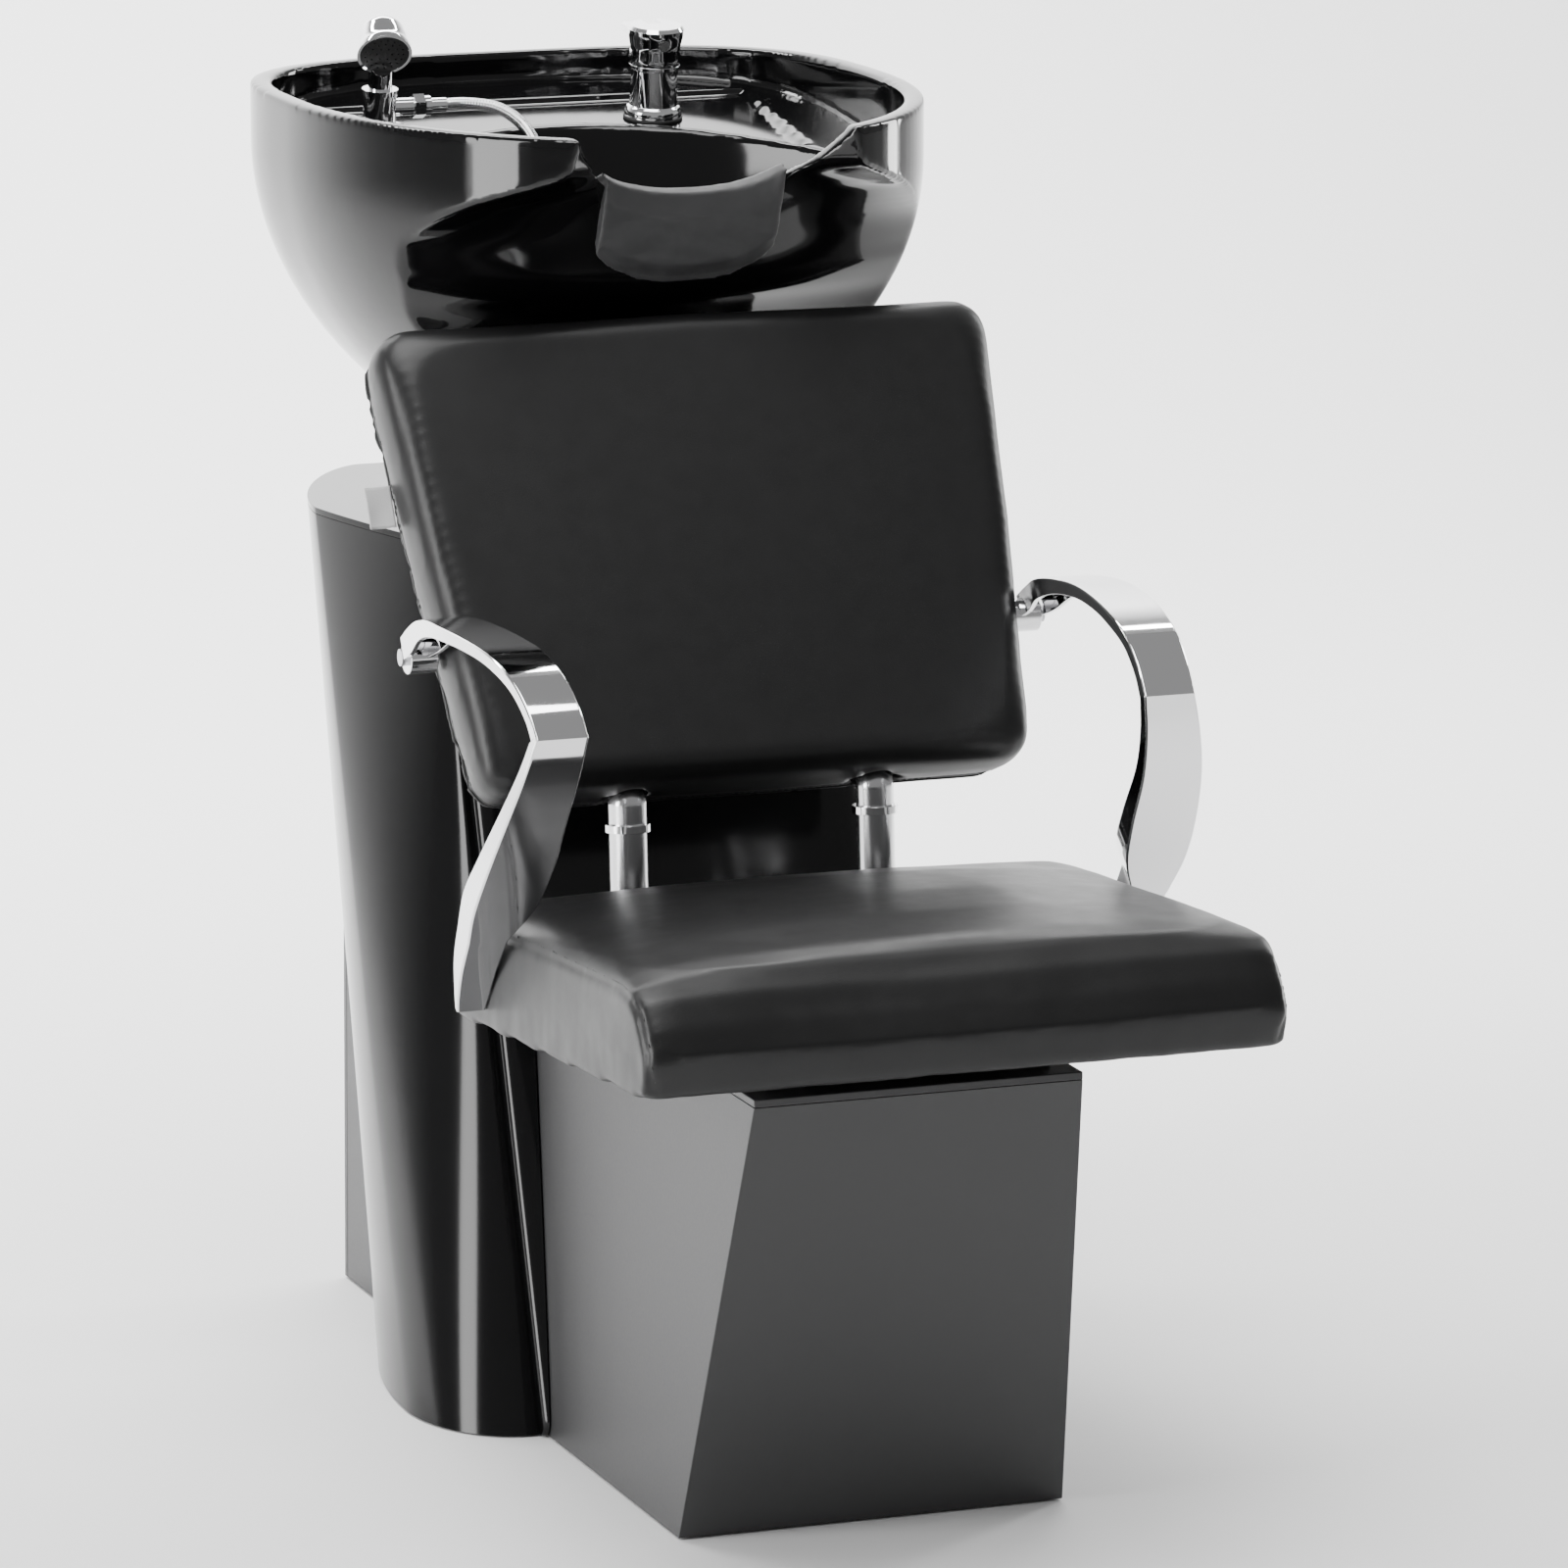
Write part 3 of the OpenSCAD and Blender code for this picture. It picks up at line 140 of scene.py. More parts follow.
def wood_material():
    m = material("plywood", (0.02, 0.02, 0.02), 0.55, grain=30, vary=0.08, bump=0.1)
    nt = m.node_tree
    b = nt.nodes["Principled BSDF"]
    tc = [n for n in nt.nodes if n.type == "TEX_COORD"][0]
    wave = nt.nodes.new("ShaderNodeTexWave")
    wave.inputs["Scale"].default_value = 40
    wave.inputs["Distortion"].default_value = 4
    ramp = nt.nodes.new("ShaderNodeValToRGB")
    ramp.color_ramp.elements[0].color = (0.012, 0.012, 0.012, 1)
    ramp.color_ramp.elements[1].color = (0.028, 0.027, 0.026, 1)
    nt.links.new(tc.outputs["Object"], wave.inputs["Vector"])
    nt.links.new(wave.outputs["Fac"], ramp.inputs["Fac"])
    nt.links.new(ramp.outputs["Color"], b.inputs["Base Color"])
    return m


MATS = {
    "pedestal_paint": material("pedestal_paint", (0.035, 0.035, 0.036), 0.42, grain=400, bump=0.08, vary=0.04),
    "frame_steel": material("frame_steel", (0.03, 0.03, 0.031), 0.5, grain=300, bump=0.1, vary=0.05),
    "fastener_steel": brushed_material("fastener_steel", (0.6, 0.6, 0.62), 0.32),
    "black_rubber": material("black_rubber", (0.015, 0.015, 0.015), 0.75, grain=200, bump=0.15, vary=0.08),
    "gloss_shell": material("gloss_shell", (0.003, 0.003, 0.0032), 0.13, grain=9, vary=0.02, spec=0.32),
    "frame_wood": wood_material(),
    "black_leather": leather_material(),
    "seam_thread": material("seam_thread", (0.02, 0.02, 0.02), 0.5, grain=900, vary=0.08),
    "chrome": material("chrome", (0.9, 0.9, 0.91), 0.05, metallic=1, grain=40, vary=0.02),
    "tube_steel": brushed_material("tube_steel", (0.72, 0.72, 0.73), 0.2),
    "tag_cloth": material("tag_cloth", (0.5, 0.5, 0.5), 0.8, grain=700, bump=0.4, vary=0.05, sheen=0.3),
    "black_glaze": material("black_glaze", (0.002, 0.002, 0.0022), 0.08, grain=14, vary=0.015, spec=0.4),
    "neck_gel": material("neck_gel", (0.03, 0.03, 0.031), 0.55, grain=120, bump=0.25, vary=0.08),
    "brass": material("brass", (0.7, 0.52, 0.25), 0.3, metallic=1, grain=60, vary=0.06),
    "white_plastic": material("white_plastic", (0.75, 0.75, 0.73), 0.45, grain=50, vary=0.05),
    "button_metal": brushed_material("button_metal", (0.8, 0.8, 0.8), 0.22),
    "black_plastic": material("black_plastic", (0.012, 0.012, 0.012), 0.35, grain=80, vary=0.05),
    "hose_steel": material("hose_steel", (0.78, 0.78, 0.79), 0.16, metallic=1, grain=120, vary=0.05),
}


def paint(o, slot):
    o.data.materials.clear()
    o.data.materials.append(MATS[slot])
    return o


# ---- mesh helpers ----
def lerp(a, b, t):
    return a + (b - a) * t


def new_object(name, mesh):
    o = bpy.data.objects.new(name, mesh)
    bpy.context.scene.collection.objects.link(o)
    return o


def solid(name, verts, faces):
    """Object from vertices in millimetres, with its normals turned outwards."""
    me = bpy.data.meshes.new(name)
    me.from_pydata([[c * MM for c in v] for v in verts], [], faces)
    bm = bmesh.new()
    bm.from_mesh(me)
    bmesh.ops.remove_doubles(bm, verts=bm.verts, dist=1e-6)
    bmesh.ops.recalc_face_normals(bm, faces=bm.faces)
    for f in bm.faces:
        f.smooth = True
    bm.to_mesh(me)
    bm.free()
    return new_object(name, me)


def loft(name, rings):
    n, m = len(rings[0]), len(rings)
    faces = [list(range(n))[::-1], [(m - 1) * n + i for i in range(n)]]
    for k in range(m - 1):
        for i in range(n):
            j = (i + 1) % n
            faces.append([k * n + i, k * n + j, (k + 1) * n + j, (k + 1) * n + i])
    return solid(name, [p for r in rings for p in r], faces)


CYLINDER_SIDES = 64


def cylinder(name, base, axis, r, h):
    a = Vector(axis).normalized()
    u = a.orthogonal().normalized()
    w = a.cross(u)
    rings = []
    for along in (0, h):
        c = Vector(base) + a * along
        rings.append([c + u * (r * math.cos(t)) + w * (r * math.sin(t))
                      for t in (2 * math.pi * i / CYLINDER_SIDES for i in range(CYLINDER_SIDES))])
    return loft(name, rings)


def arrays(o):
    """Vertex positions and normals."""
    n = len(o.data.vertices)
    co, no = np.empty(n * 3, np.float32), np.empty(n * 3, np.float32)
    o.data.vertices.foreach_get("co", co)
    o.data.vertices.foreach_get("normal", no)
    return co.reshape(-1, 3).astype(float), no.reshape(-1, 3).astype(float)


def set_points(o, co):
    o.data.vertices.foreach_set("co", co.astype(np.float32).ravel())
    o.data.update()


def bake(o):
    """Applies the modifiers."""
    dg = bpy.context.evaluated_depsgraph_get()
    mesh = bpy.data.meshes.new_from_object(o.evaluated_get(dg))
    o.modifiers.clear()
    o.data = mesh
    return o


def boolean(o, tool):
    """Cuts the tool out of the piece."""
    m = o.modifiers.new("boolean", "BOOLEAN")
    m.operation = "DIFFERENCE"
    m.solver = "MANIFOLD"
    m.object = tool
    bake(o)
    bpy.data.objects.remove(tool)
    return o


def remesh(o, size, smooth=0):
    m = o.modifiers.new("remesh", "REMESH")
    m.mode = "VOXEL"
    m.voxel_size = size
    m.use_smooth_shade = True
    if smooth:
        s = o.modifiers.new("smooth", "SMOOTH")
        s.factor = 0.5
        s.iterations = smooth
    return bake(o)


def bevel(o, width, segments=2, angle=35):
    w = o.modifiers.new("weld", "WELD")
    w.merge_threshold = 1e-5
    m = o.modifiers.new("bevel", "BEVEL")
    m.width = width
    m.segments = segments
    m.limit_method = "ANGLE"
    m.angle_limit = math.radians(angle)
    m.harden_normals = True
    m.miter_outer = "MITER_ARC"
    return o


def smooth_curve(points, steps):
    """Catmull-Rom curve through rows of numbers."""
    p = [np.array(q, float) for q in points]
    p = [2 * p[0] - p[1]] + p + [2 * p[-1] - p[-2]]
    out = []
    for i in range(1, len(p) - 2):
        for k in range(steps):
            t = k / steps
            out.append(0.5 * (2 * p[i] + (p[i + 1] - p[i - 1]) * t
                              + (2 * p[i - 1] - 5 * p[i] + 4 * p[i + 1] - p[i + 2]) * t * t
                              + (3 * p[i] - p[i - 1] - 3 * p[i + 1] + p[i + 2]) * t ** 3))
    out.append(p[-2])
    return out


def place(o, matrix):
    o.data.transform(matrix)
    return o


def show(o, body, slot, *nodes):
    """The piece stands for CAD nodes on a body, with that slot's finish."""
    paint(o, slot)
    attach(o, body)
    if nodes:
        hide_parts(*nodes)
    return o


def cad_copy(node, name):
    o = frame["nodes"][node].copy()
    o.data = o.data.copy()
    for key in list(o.keys()):
        del o[key]
    o.name = name
    o.parent = None
    bpy.context.scene.collection.objects.link(o)
    bm = bmesh.new()
    bm.from_mesh(o.data)
    bmesh.ops.remove_doubles(bm, verts=bm.verts, dist=1e-5)
    bmesh.ops.recalc_face_normals(bm, faces=bm.faces)
    bm.to_mesh(o.data)
    bm.free()
    return o


# ---- CAD pieces shown as they are, with softened edges and their finish ----
def dress_cad_pieces():
    slots = {s["node"]: s["material_slot"] for s in frame["record"]["subparts"]}
    widths = {"base_shell": 0.0008, "base_rear_panel": 0.0008, "base_top_plate": 0.001, "tilt_fork": 0.0008,
              "basin_bracket": 0.0008, "column_post": 0.0008, "service_panel": 0.0006}
    for name, o in frame["nodes"].items():
        slot = slots[name]
        paint(o, "tube_steel" if name in ("upright_left", "upright_right") else slot)
        if "custom_normal" in o.data.attributes:
            o.data.attributes.remove(o.data.attributes["custom_normal"])
        for f in o.data.polygons:
            f.use_smooth = True
        bevel(o, widths.get(name, 0.0003))


dress_cad_pieces()


# ---- basin ----
BASIN_W, BASIN_Y, FRONT_R, REAR_R = 496, 220, 330, 236
RIM, SKIRT, WALL = 988, 45, 16
SHELF_SLOPE = 0.116
SCOOP = [[690, 131, 150, 60], [715, 122, 140, 70], [735, 114, 128, 90], [770, 97, 112, 125], [800, 80, 95, 165],
         [822, 62, 84, 185], [838, 42, 80, 190], [852, 22, 74, 198], [866, 8, 66, 200], [880, 0, 58, 196],
         [903, -8, 38, 188], [929, -14, -6, 172], [940, -16, -32, 160], [957, -18, -72, 127],
         [972, -20, -76, 118], [1000, -22, -78, 108]]
SCOOP_ROWS = smooth_curve(SCOOP, 5)


def rim_r(a, inset):
    c, s = math.cos(a), math.sin(a)
    b, p = ((FRONT_R, 2) if s < 0 else (REAR_R, 3.2))
    return 1 / ((abs(c) / (BASIN_W / 2 - inset)) ** p + (abs(s) / (b - inset)) ** p) ** (1 / p)


def bowl(name, inset, by, br, zb, zs, zt):
    n = 160
    rings = []
    us = [math.radians(90 - 90 * k / 40) for k in range(41)]
    for u in us + [None]:
        h = 1 if u is None else (0 if u >= math.radians(89.9) else math.cos(u) ** 1.45)
        z = zt if u is None else zs - (zs - zb) * math.sin(u)
        ring = []
        for i in range(n):
            a = 2 * math.pi * i / n
            r = rim_r(a, inset)
            ring.append((lerp(br * math.cos(a), r * math.cos(a), h),
                         lerp(by + br * math.sin(a), BASIN_Y + r * math.sin(a), h), z))
        rings.append(ring)
    return loft(name, rings)


def scoop(name, wall):
    rings = []
    for x in np.linspace(-262, 262, 88):
        side = [(x, r[1] + (r[2] - r[1]) * (x / r[3]) ** 2 + wall, r[0]) for r in SCOOP_ROWS]
        side[0] = (x, side[0][1], 670)
        rings.append(side + [(x, -520, 1000), (x, -520, 670)])
    return loft(name, rings)


def neck_z(x):
    return RIM - 59 + 57 * min(abs(x) / 109, 1) ** 3


def neck_notch():
    xs = np.linspace(-109, 109, 60)
    row = [(x, neck_z(x)) for x in xs] + [(109, RIM + 20), (-109, RIM + 20)]
    return loft("notch", [[(x, y, z) for x, z in row] for y in (60, -340)])


def shelf_front(x):
    return 290 - 102 * (abs(x) / 170) ** 2.2


def shelf_top(y):
    return 947 + SHELF_SLOPE * (y - 290)


def shelf_block():
    rings = []
    for x in np.linspace(-246, 246, 90):
        y = shelf_front(x)
        rings.append([(x, 480, 715), (x, 480, shelf_top(480)), (x, y, shelf_top(y)),
                      (x, y - 4, shelf_top(y) - 12), (x, y - 14, 890), (x, y - 34, 820),
                      (x, y - 52, 760), (x, y - 62, 715)])
    return loft("shelf", rings)


def on_shelf(x, y):
    move = Matrix.Translation((x * MM, y * MM, (shelf_top(y) - 4) * MM))
    return move @ Matrix.Rotation(math.atan(SHELF_SLOPE), 4, "X")


def shelf_recess():
    xs = np.linspace(-172, 172, 50)
    row = [(x, shelf_front(x) - 290 + 12) for x in xs] + [(186, 92), (-186, 92)]
    o = loft("recess", [[(x, y, z) for x, y in row] for z in (0, 30)])
    return place(o, on_shelf(0, 290))


def make_basin():
    basin = bowl("basin_glazed", 0, 250, 75, 706, RIM - SKIRT, RIM)
    inner = bowl("inner", WALL, 176, 40, 735, RIM - SKIRT + 8, RIM + 12)
    boolean(inner, scoop("s1", WALL))
    boolean(inner, shelf_block())
    boolean(basin, scoop("s0", 0))
    boolean(basin, neck_notch())
    boolean(basin, inner)
    boolean(basin, shelf_recess())
    boolean(basin, cylinder("d", (0, 168, 690), (0, 0, 1), 22.5, 60))
    boolean(basin, place(cylinder("m", (0, 0, -30), (0, 0, 1), 16.5, 60), on_shelf(87, 319)))
    boolean(basin, place(cylinder("h", (0, 0, -38), (0, 0, 1), 17.5, 70), on_shelf(-142, 314)))
    remesh(basin, 0.0024, smooth=9)
    show(basin, "basin", "black_glaze", "basin")
    return basin


make_basin()


# ---- neck rest ----
def make_neck_rest():
    o = cad_copy("neck_rest", "neck_rest_soft")
    remesh(o, 0.002, smooth=5)
    co, no = arrays(o)
    for i, p in enumerate(co):
        w = noise.noise(Vector((p[0] * 38, p[1] * 20, p[2] * 75))) * 0.0007
        w += noise.noise(Vector((p[0] * 90 + 5, p[1] * 60, p[2] * 170))) * 0.0003
        co[i] += no[i] * min(w, 0.0004)
    set_points(o, co)
    show(o, "basin", "neck_gel", "neck_rest")


make_neck_rest()


# ---- column ----
COL_H, COL_LEAN, COL_FRONT, COL_DEPTH = 655, 0.343, -103, 354
PANEL_W = 313


def base_ring(z, grow):
    t = z / 345
    hw = lerp(303, 254, t) / 2 + grow
    return [(-hw, -402 - 95 * t - grow, z), (hw, -402 - 95 * t - grow, z),
            (hw, 402 + 71 * t + grow, z), (-hw, 402 + 71 * t + grow, z)]


def base_clearance():
    return loft("clear", [base_ring(-6, 1.5), base_ring(355, 1.5)])


def col_half(z, inset):
    t = z / COL_H
    w = lerp(462, 406, t) / 2 - inset
    shift = COL_FRONT + COL_LEAN * z
    side = shift + lerp(98, 175, t)
    fx, rx = PANEL_W / 2 + 4 - inset * 0.3, lerp(120, 110, t)
    fp, rp = lerp(1, 1.74, t), lerp(1.1, 1.33, t)
    y0, y1 = shift + inset, shift + COL_DEPTH - inset
    a1 = [math.radians(3 * k) for k in range(31)]
    front = [(lerp(fx, w, math.sin(a) ** fp), lerp(side, y0, max(math.cos(a), 0) ** fp), z) for a in a1]
    rear = [(lerp(rx, w, max(math.cos(a), 0) ** rp), lerp(side, y1, math.sin(a) ** rp), z) for a in a1[1:]]
    return front + rear


def make_column():
    top = COL_H - 5
    rings = []
    for k in range(49):
        z = lerp(1.5, top, k / 48)
        out, inn = col_half(z, 0), col_half(z, 4)
        y0 = COL_FRONT + COL_LEAN * z
        right_out = [(PANEL_W / 2, y0, z)] + out
        right_in = [(PANEL_W / 2, y0 + 4, z)] + inn[1:]
        left_out = [(-x, y, zz) for x, y, zz in right_out[::-1]]
        left_in = [(-x, y, zz) for x, y, zz in right_in]
        rings.append(right_out + left_out + left_in + right_in[::-1])
    shell = loft("column_gloss", rings)
    boolean(shell, base_clearance())
    slot_z = (410, 588)
    bar = []
    for z in slot_z:
        y = COL_FRONT + COL_LEAN * z + COL_DEPTH
        bar.append([(-67, y - 30, z), (67, y - 30, z), (67, y + 30, z), (-67, y + 30, z)])
    boolean(shell, loft("bar", bar))
    bevel(shell, 0.0012, 3, 40)
    show(shell, "unit", "gloss_shell", "column_shell")

    plate = loft("column_lid", [col_half(z, 0) + [(-x, y, zz) for x, y, zz in col_half(z, 0)[::-1]]
                                for z in (top + 0.3, COL_H)])
    box = [[(-82, 198, z), (82, 198, z), (82, 302, z), (-82, 302, z)] for z in (645, 665)]
    boolean(plate, loft("cutbox", box))
    boolean(plate, cylinder("c1", (0, 172, 645), (0, 0, 1), 30, 20))
    boolean(plate, cylinder("c2", (0, 355, 645), (0, 0, 1), 32, 20))
    bevel(plate, 0.001, 3, 40)
    show(plate, "unit", "gloss_shell", "column_top")

    hw = PANEL_W / 2 - 0.3
    rings = []
    z0, z1 = 1.5, top - 0.3
    levels = [(z0 + 14 * (1 - math.cos(t)), 0.25 + 0.75 * math.sin(t)) for t in np.linspace(0, math.pi / 2, 8)]
    levels += [(lerp(z0 + 14, z1 - 4, t), 1) for t in np.linspace(0.05, 1, 20)] + [(z1 - 2, 0.93), (z1, 0.8)]
    for z, s in levels:
        y = COL_FRONT + COL_LEAN * z
        row = [(hw * math.sin(t), t) for t in np.linspace(-math.pi / 2, math.pi / 2, 61)]
        face = [(x, y + (-8 - 18 * max(0, 1 - abs(x / hw) ** 6) ** 0.5) * s, z) for x, t in row]
        back = [(x * (hw - 4) / hw, y + (-4 - 18 * max(0, 1 - abs(x / hw) ** 6) ** 0.5) * s + 1, z)
                for x, t in row[::-1]]
        rings.append([(-hw, y + 12, z)] + face + [(hw, y + 12, z), (hw - 4, y + 12, z)]
                     + back + [(4 - hw, y + 12, z)])
    panel = loft("column_panel", rings)
    boolean(panel, base_clearance())
    bevel(panel, 0.0008, 2, 50)
    show(panel, "unit", "gloss_shell", "column_front_panel")


make_column()


# ---- upholstery ----
SEAT_LEN, SEAT_TILT = 432, math.radians(4)
SEAT = (Matrix.Translation((0, -0.604, (351.7 + SEAT_LEN * math.sin(SEAT_TILT)) * MM))
        @ Matrix.Rotation(-SEAT_TILT, 4, "X"))
BACK_LEAN = math.radians(29.5)
BACK = Matrix.Translation((0, -0.18, 0.52)) @ Matrix.Rotation(-BACK_LEAN, 4, "X")


def smoothed(o, field, times):
    """The field averaged over each vertex's neighbours."""
    e = np.empty(len(o.data.edges) * 2, np.int32)
    o.data.edges.foreach_get("vertices", e)
    e = e.reshape(-1, 2)
    ends, others = np.concatenate([e[:, 0], e[:, 1]]), np.concatenate([e[:, 1], e[:, 0]])
    count = np.maximum(np.bincount(ends, minlength=len(field)), 1)[:, None]
    for _ in range(times):
        total = [np.bincount(ends, field[others, k], minlength=len(field)) for k in range(3)]
        field = np.stack(total, axis=1) / count
    return field


def simulate(o, local, pinned, pressure, cap):
    """Inflates the cover for a few frames around pinned parts, then holds the movement to a cap."""
    inv = local.inverted()
    start, _ = arrays(o)
    g = o.vertex_groups.new(name="pin")
    for v in o.data.vertices:
        w = pinned(inv @ v.co)
        if w > 0:
            g.add([v.index], w, "REPLACE")
    scene = bpy.context.scene
    c = o.modifiers.new("cloth", "CLOTH")
    s = c.settings
    s.quality = 3
    s.mass = 0.4
    s.tension_stiffness = 25
    s.compression_stiffness = 25
    s.bending_stiffness = 1.2
    s.vertex_group_mass = "pin"
    s.use_pressure = True
    s.uniform_pressure_force = pressure
    s.shrink_min = -0.012
    s.effector_weights.gravity = 0
    c.collision_settings.use_collision = False
    c.point_cache.frame_start = 1
    c.point_cache.frame_end = 20
    for f in range(1, 21):
        scene.frame_set(f)
    bake(o)
    scene.frame_set(1)
    now, _ = arrays(o)
    move = smoothed(o, now - start, 40)
    size = np.linalg.norm(move, axis=1, keepdims=True)
    now = start + move * np.minimum(1, cap / np.maximum(size, 1e-9))
    set_points(o, now)
    o.vertex_groups.clear()


def resample(points, step, closed=False):
    pts = [Vector(p) for p in points]
    if closed:
        pts.append(pts[0])
    out, carry = [], 0.0
    for a, b in zip(pts, pts[1:]):
        d = (b - a).length
        t = carry
        while t < d:
            out.append(a.lerp(b, t / d))
            t += step
        carry = t - d
    return out


def snapped(o, points, step, closed=False):
    """Points at even steps on the piece's surface, each with its normal."""
    bm = bmesh.new()
    bm.from_mesh(o.data)
    tree = BVHTree.FromBMesh(bm)
    bm.free()
    out = []
    for p in resample(points, step, closed):
        q, n, _, _ = tree.find_nearest(p)
        out.append((q, n))
    return out


def groove(o, line, width, depth):
    """Pulls the cover in along a seam."""
    pts = np.array([p for p, _ in line])
    co, no = arrays(o)
    tree = KDTree(len(pts))
    for i, p in enumerate(pts):
        tree.insert(p, i)
    tree.balance()
    for i in range(len(co)):
        near = tree.find(co[i])[2]
        if near < 3 * width:
            co[i] -= no[i] * (depth * math.exp(-(near / width) ** 2))
    set_points(o, co)


STITCH_LENGTH, STITCH_RADIUS = 0.0034, 0.00035


def stitches(name, line, body, shift):
    """One mesh of short thread loops along a seam line."""
    verts, faces = [], []
    for k in range(len(line) - 1):
        (p, n), (q, _) = line[k], line[k + 1]
        t = (q - p)
        if t.length < 1e-6:
            continue
        t.normalize()
        side = n.cross(t).normalized()
        c = p + side * shift + n * (STITCH_RADIUS * 0.4)
        base = len(verts)
        for s, r in ((-0.5, 0.35), (-0.36, 0.9), (0, 1.1), (0.36, 0.9), (0.5, 0.35)):
            for a in range(6):
                ang = math.pi * a / 3
                verts.append(c + t * (STITCH_LENGTH * s)
                             + (side * math.cos(ang) + n * math.sin(ang)) * (STITCH_RADIUS * r))
        for i in range(4):
            for a in range(6):
                b = (a + 1) % 6
                faces.append([base + 6 * i + a, base + 6 * i + b, base + 6 * i + 6 + b, base + 6 * i + 6 + a])
        faces.append([base + a for a in range(5, -1, -1)])
        faces.append([base + 24 + a for a in range(6)])
    o = solid(name, [[c / MM for c in v] for v in verts], faces)
    return show(o, body, "black_leather") and paint(o, "seam_thread")


def welt(name, line, body, radius, lift):
    """A sewn cord round a closed line of points on the surface."""
    pts = [p + n * lift for p, n in line]
    rings = []
    count = len(pts)
    for i in range(count):
        a, b = pts[(i - 1) % count], pts[(i + 1) % count]
        t = (b - a).normalized()
        n = line[i][1]
        side = t.cross(n).normalized()
        up = side.cross(t)
        rings.append([pts[i] + (side * math.cos(x) + up * math.sin(x)) * radius
                      for x in (2 * math.pi * k / 8 for k in range(8))])
    verts = [p / MM for r in rings for p in r]
    faces = []
    for k in range(count):
        m = (k + 1) % count
        for i in range(8):
            j = (i + 1) % 8
            faces.append([k * 8 + i, k * 8 + j, m * 8 + j, m * 8 + i])
    o = solid(name, verts, faces)
    return show(o, body, "black_leather")


def subdivide(o):
    m = o.modifiers.new("sub", "SUBSURF")
    m.levels = m.render_levels = 1
    return bake(o)


def wrinkle(o, local, amount):
    """Adds the cover's small creases: amount gives their depth at a point of the piece's own frame."""
    inv = local.inverted()
    co, no = arrays(o)
    for i in range(len(co)):
        q = inv @ Vector(co[i])
        d = amount(q)
        if d:
            w = noise.noise(Vector((q.x * 22, q.y * 22, q.z * 30))) * 0.6
            w += noise.noise(Vector((q.x * 55 + 3, q.y * 60, q.z * 25))) * 0.4
            co[i] += no[i] * (w * d)
    set_points(o, co)


def make_seat():
    o = cad_copy("seat_cushion", "seat_cover")
    remesh(o, 0.005, smooth=4)
    inv_len = SEAT_LEN * MM

    def pinned(q):
        if q.z < 0.012 or (abs(q.x) < 0.236 and q.z < 0.05 and 0.018 < q.y < inv_len - 0.01):
            return 1.0
        return 0.25 if q.z < 0.03 else 0.0

    simulate(o, SEAT, pinned, 4.0, 0.005)
    subdivide(o)
    seams = []
    for s in (-1, 1):
        path = [(s * 0.244, 0.424, 0.071), (s * 0.244, 0.3, 0.075), (s * 0.244, 0.06, 0.074),
                (s * 0.243, 0.036, 0.07), (s * 0.242, 0.02, 0.058), (s * 0.242, 0.006, 0.034),
                (s * 0.242, 0.004, 0.003)]
        seams.append([SEAT @ Vector(p) for p in path])
    wrinkle(o, SEAT, lambda q: (0.0011 if q.z < 0.03 else 0.0004) * max(0, min(1, (0.066 - q.z) / 0.03))
            if q.z < 0.066 and q.z > -0.002 and (abs(q.x) > 0.237 or q.y < 0.02 or q.y > inv_len - 0.01) else 0)
    for k, path in enumerate(seams):
        line = snapped(o, path, 0.0025)
        groove(o, line, 0.0034, 0.0016)
        line = snapped(o, path, 0.005)
        stitches(f"seat_seam_{k}", line, "unit", shift=0.0034)
    show(o, "unit", "black_leather", "seat_cushion")


make_seat()


def back_outline(inset, corner=0.026):
    """Points round the backrest's edge in its own frame, at a given inset."""
    wb, wt, top = 0.22 - inset, 0.246 - inset, 0.373 - inset
    pts = []
    for cx, cz, a0 in ((-wb + corner, inset + corner, 180), (wb - corner, inset + corner, 270),
                       (wt - corner, top - corner, 0), (-wt + corner, top - corner, 90)):
        for k in range(7):
            a = math.radians(a0 + 15 * k)
            pts.append((cx + corner * math.cos(a), cz + corner * math.sin(a)))
    return pts


def make_backrest():
    o = cad_copy("back_cushion", "back_cover_front")
    remesh(o, 0.005, smooth=6)

    def pinned(q):
        inside = q.y > 0.022 and abs(q.x) < 0.21 and 0.012 < q.z < 0.36
        return 1.0 if q.y > 0.048 or inside else 0.0

    simulate(o, BACK, pinned, 3.0, 0.004)
    subdivide(o)
    wrinkle(o, BACK, lambda q: 0.0005 * max(0, min(1, (q.y - 0.012) / 0.02)) if q.y > 0.012 else 0)
    ring = [BACK @ Vector((x, 0.050, z)) for x, z in back_outline(0.002)]
    line = snapped(o, ring, 0.0025, closed=True)
    groove(o, line, 0.003, 0.0013)
    stitches("back_seam_a", snapped(o, ring, 0.005, closed=True), "unit", shift=0.003)
    stitches("back_seam_b", snapped(o, ring, 0.005, closed=True), "unit", shift=-0.003)
    show(o, "unit", "black_leather", "back_cushion")
    edge = [BACK @ Vector((x, 0.0575, z)) for x, z in back_outline(0.003)]
    welt("back_welt", snapped(o, edge, 0.004, closed=True), "unit", 0.0017, 0.0006)

    rings = []
    for depth, inset in ((0.059, 0.0065), (0.0605, 0.0055), (0.0617, 0.0065),
                         (0.0625, 0.012), (0.0628, 0.03), (0.063, 0.07)):
        rings.append([[c / MM for c in BACK @ Vector((x, depth, z))]
                      for x, z in back_outline(inset, max(0.024 - inset * 0.2, 0.006))])
    cover = loft("back_cover_rear", rings[::-1])
    remesh(cover, 0.002, smooth=2)
    wrinkle(cover, BACK, lambda q: 0.0006)
    show(cover, "unit", "black_leather", "back_cover")


make_backrest()


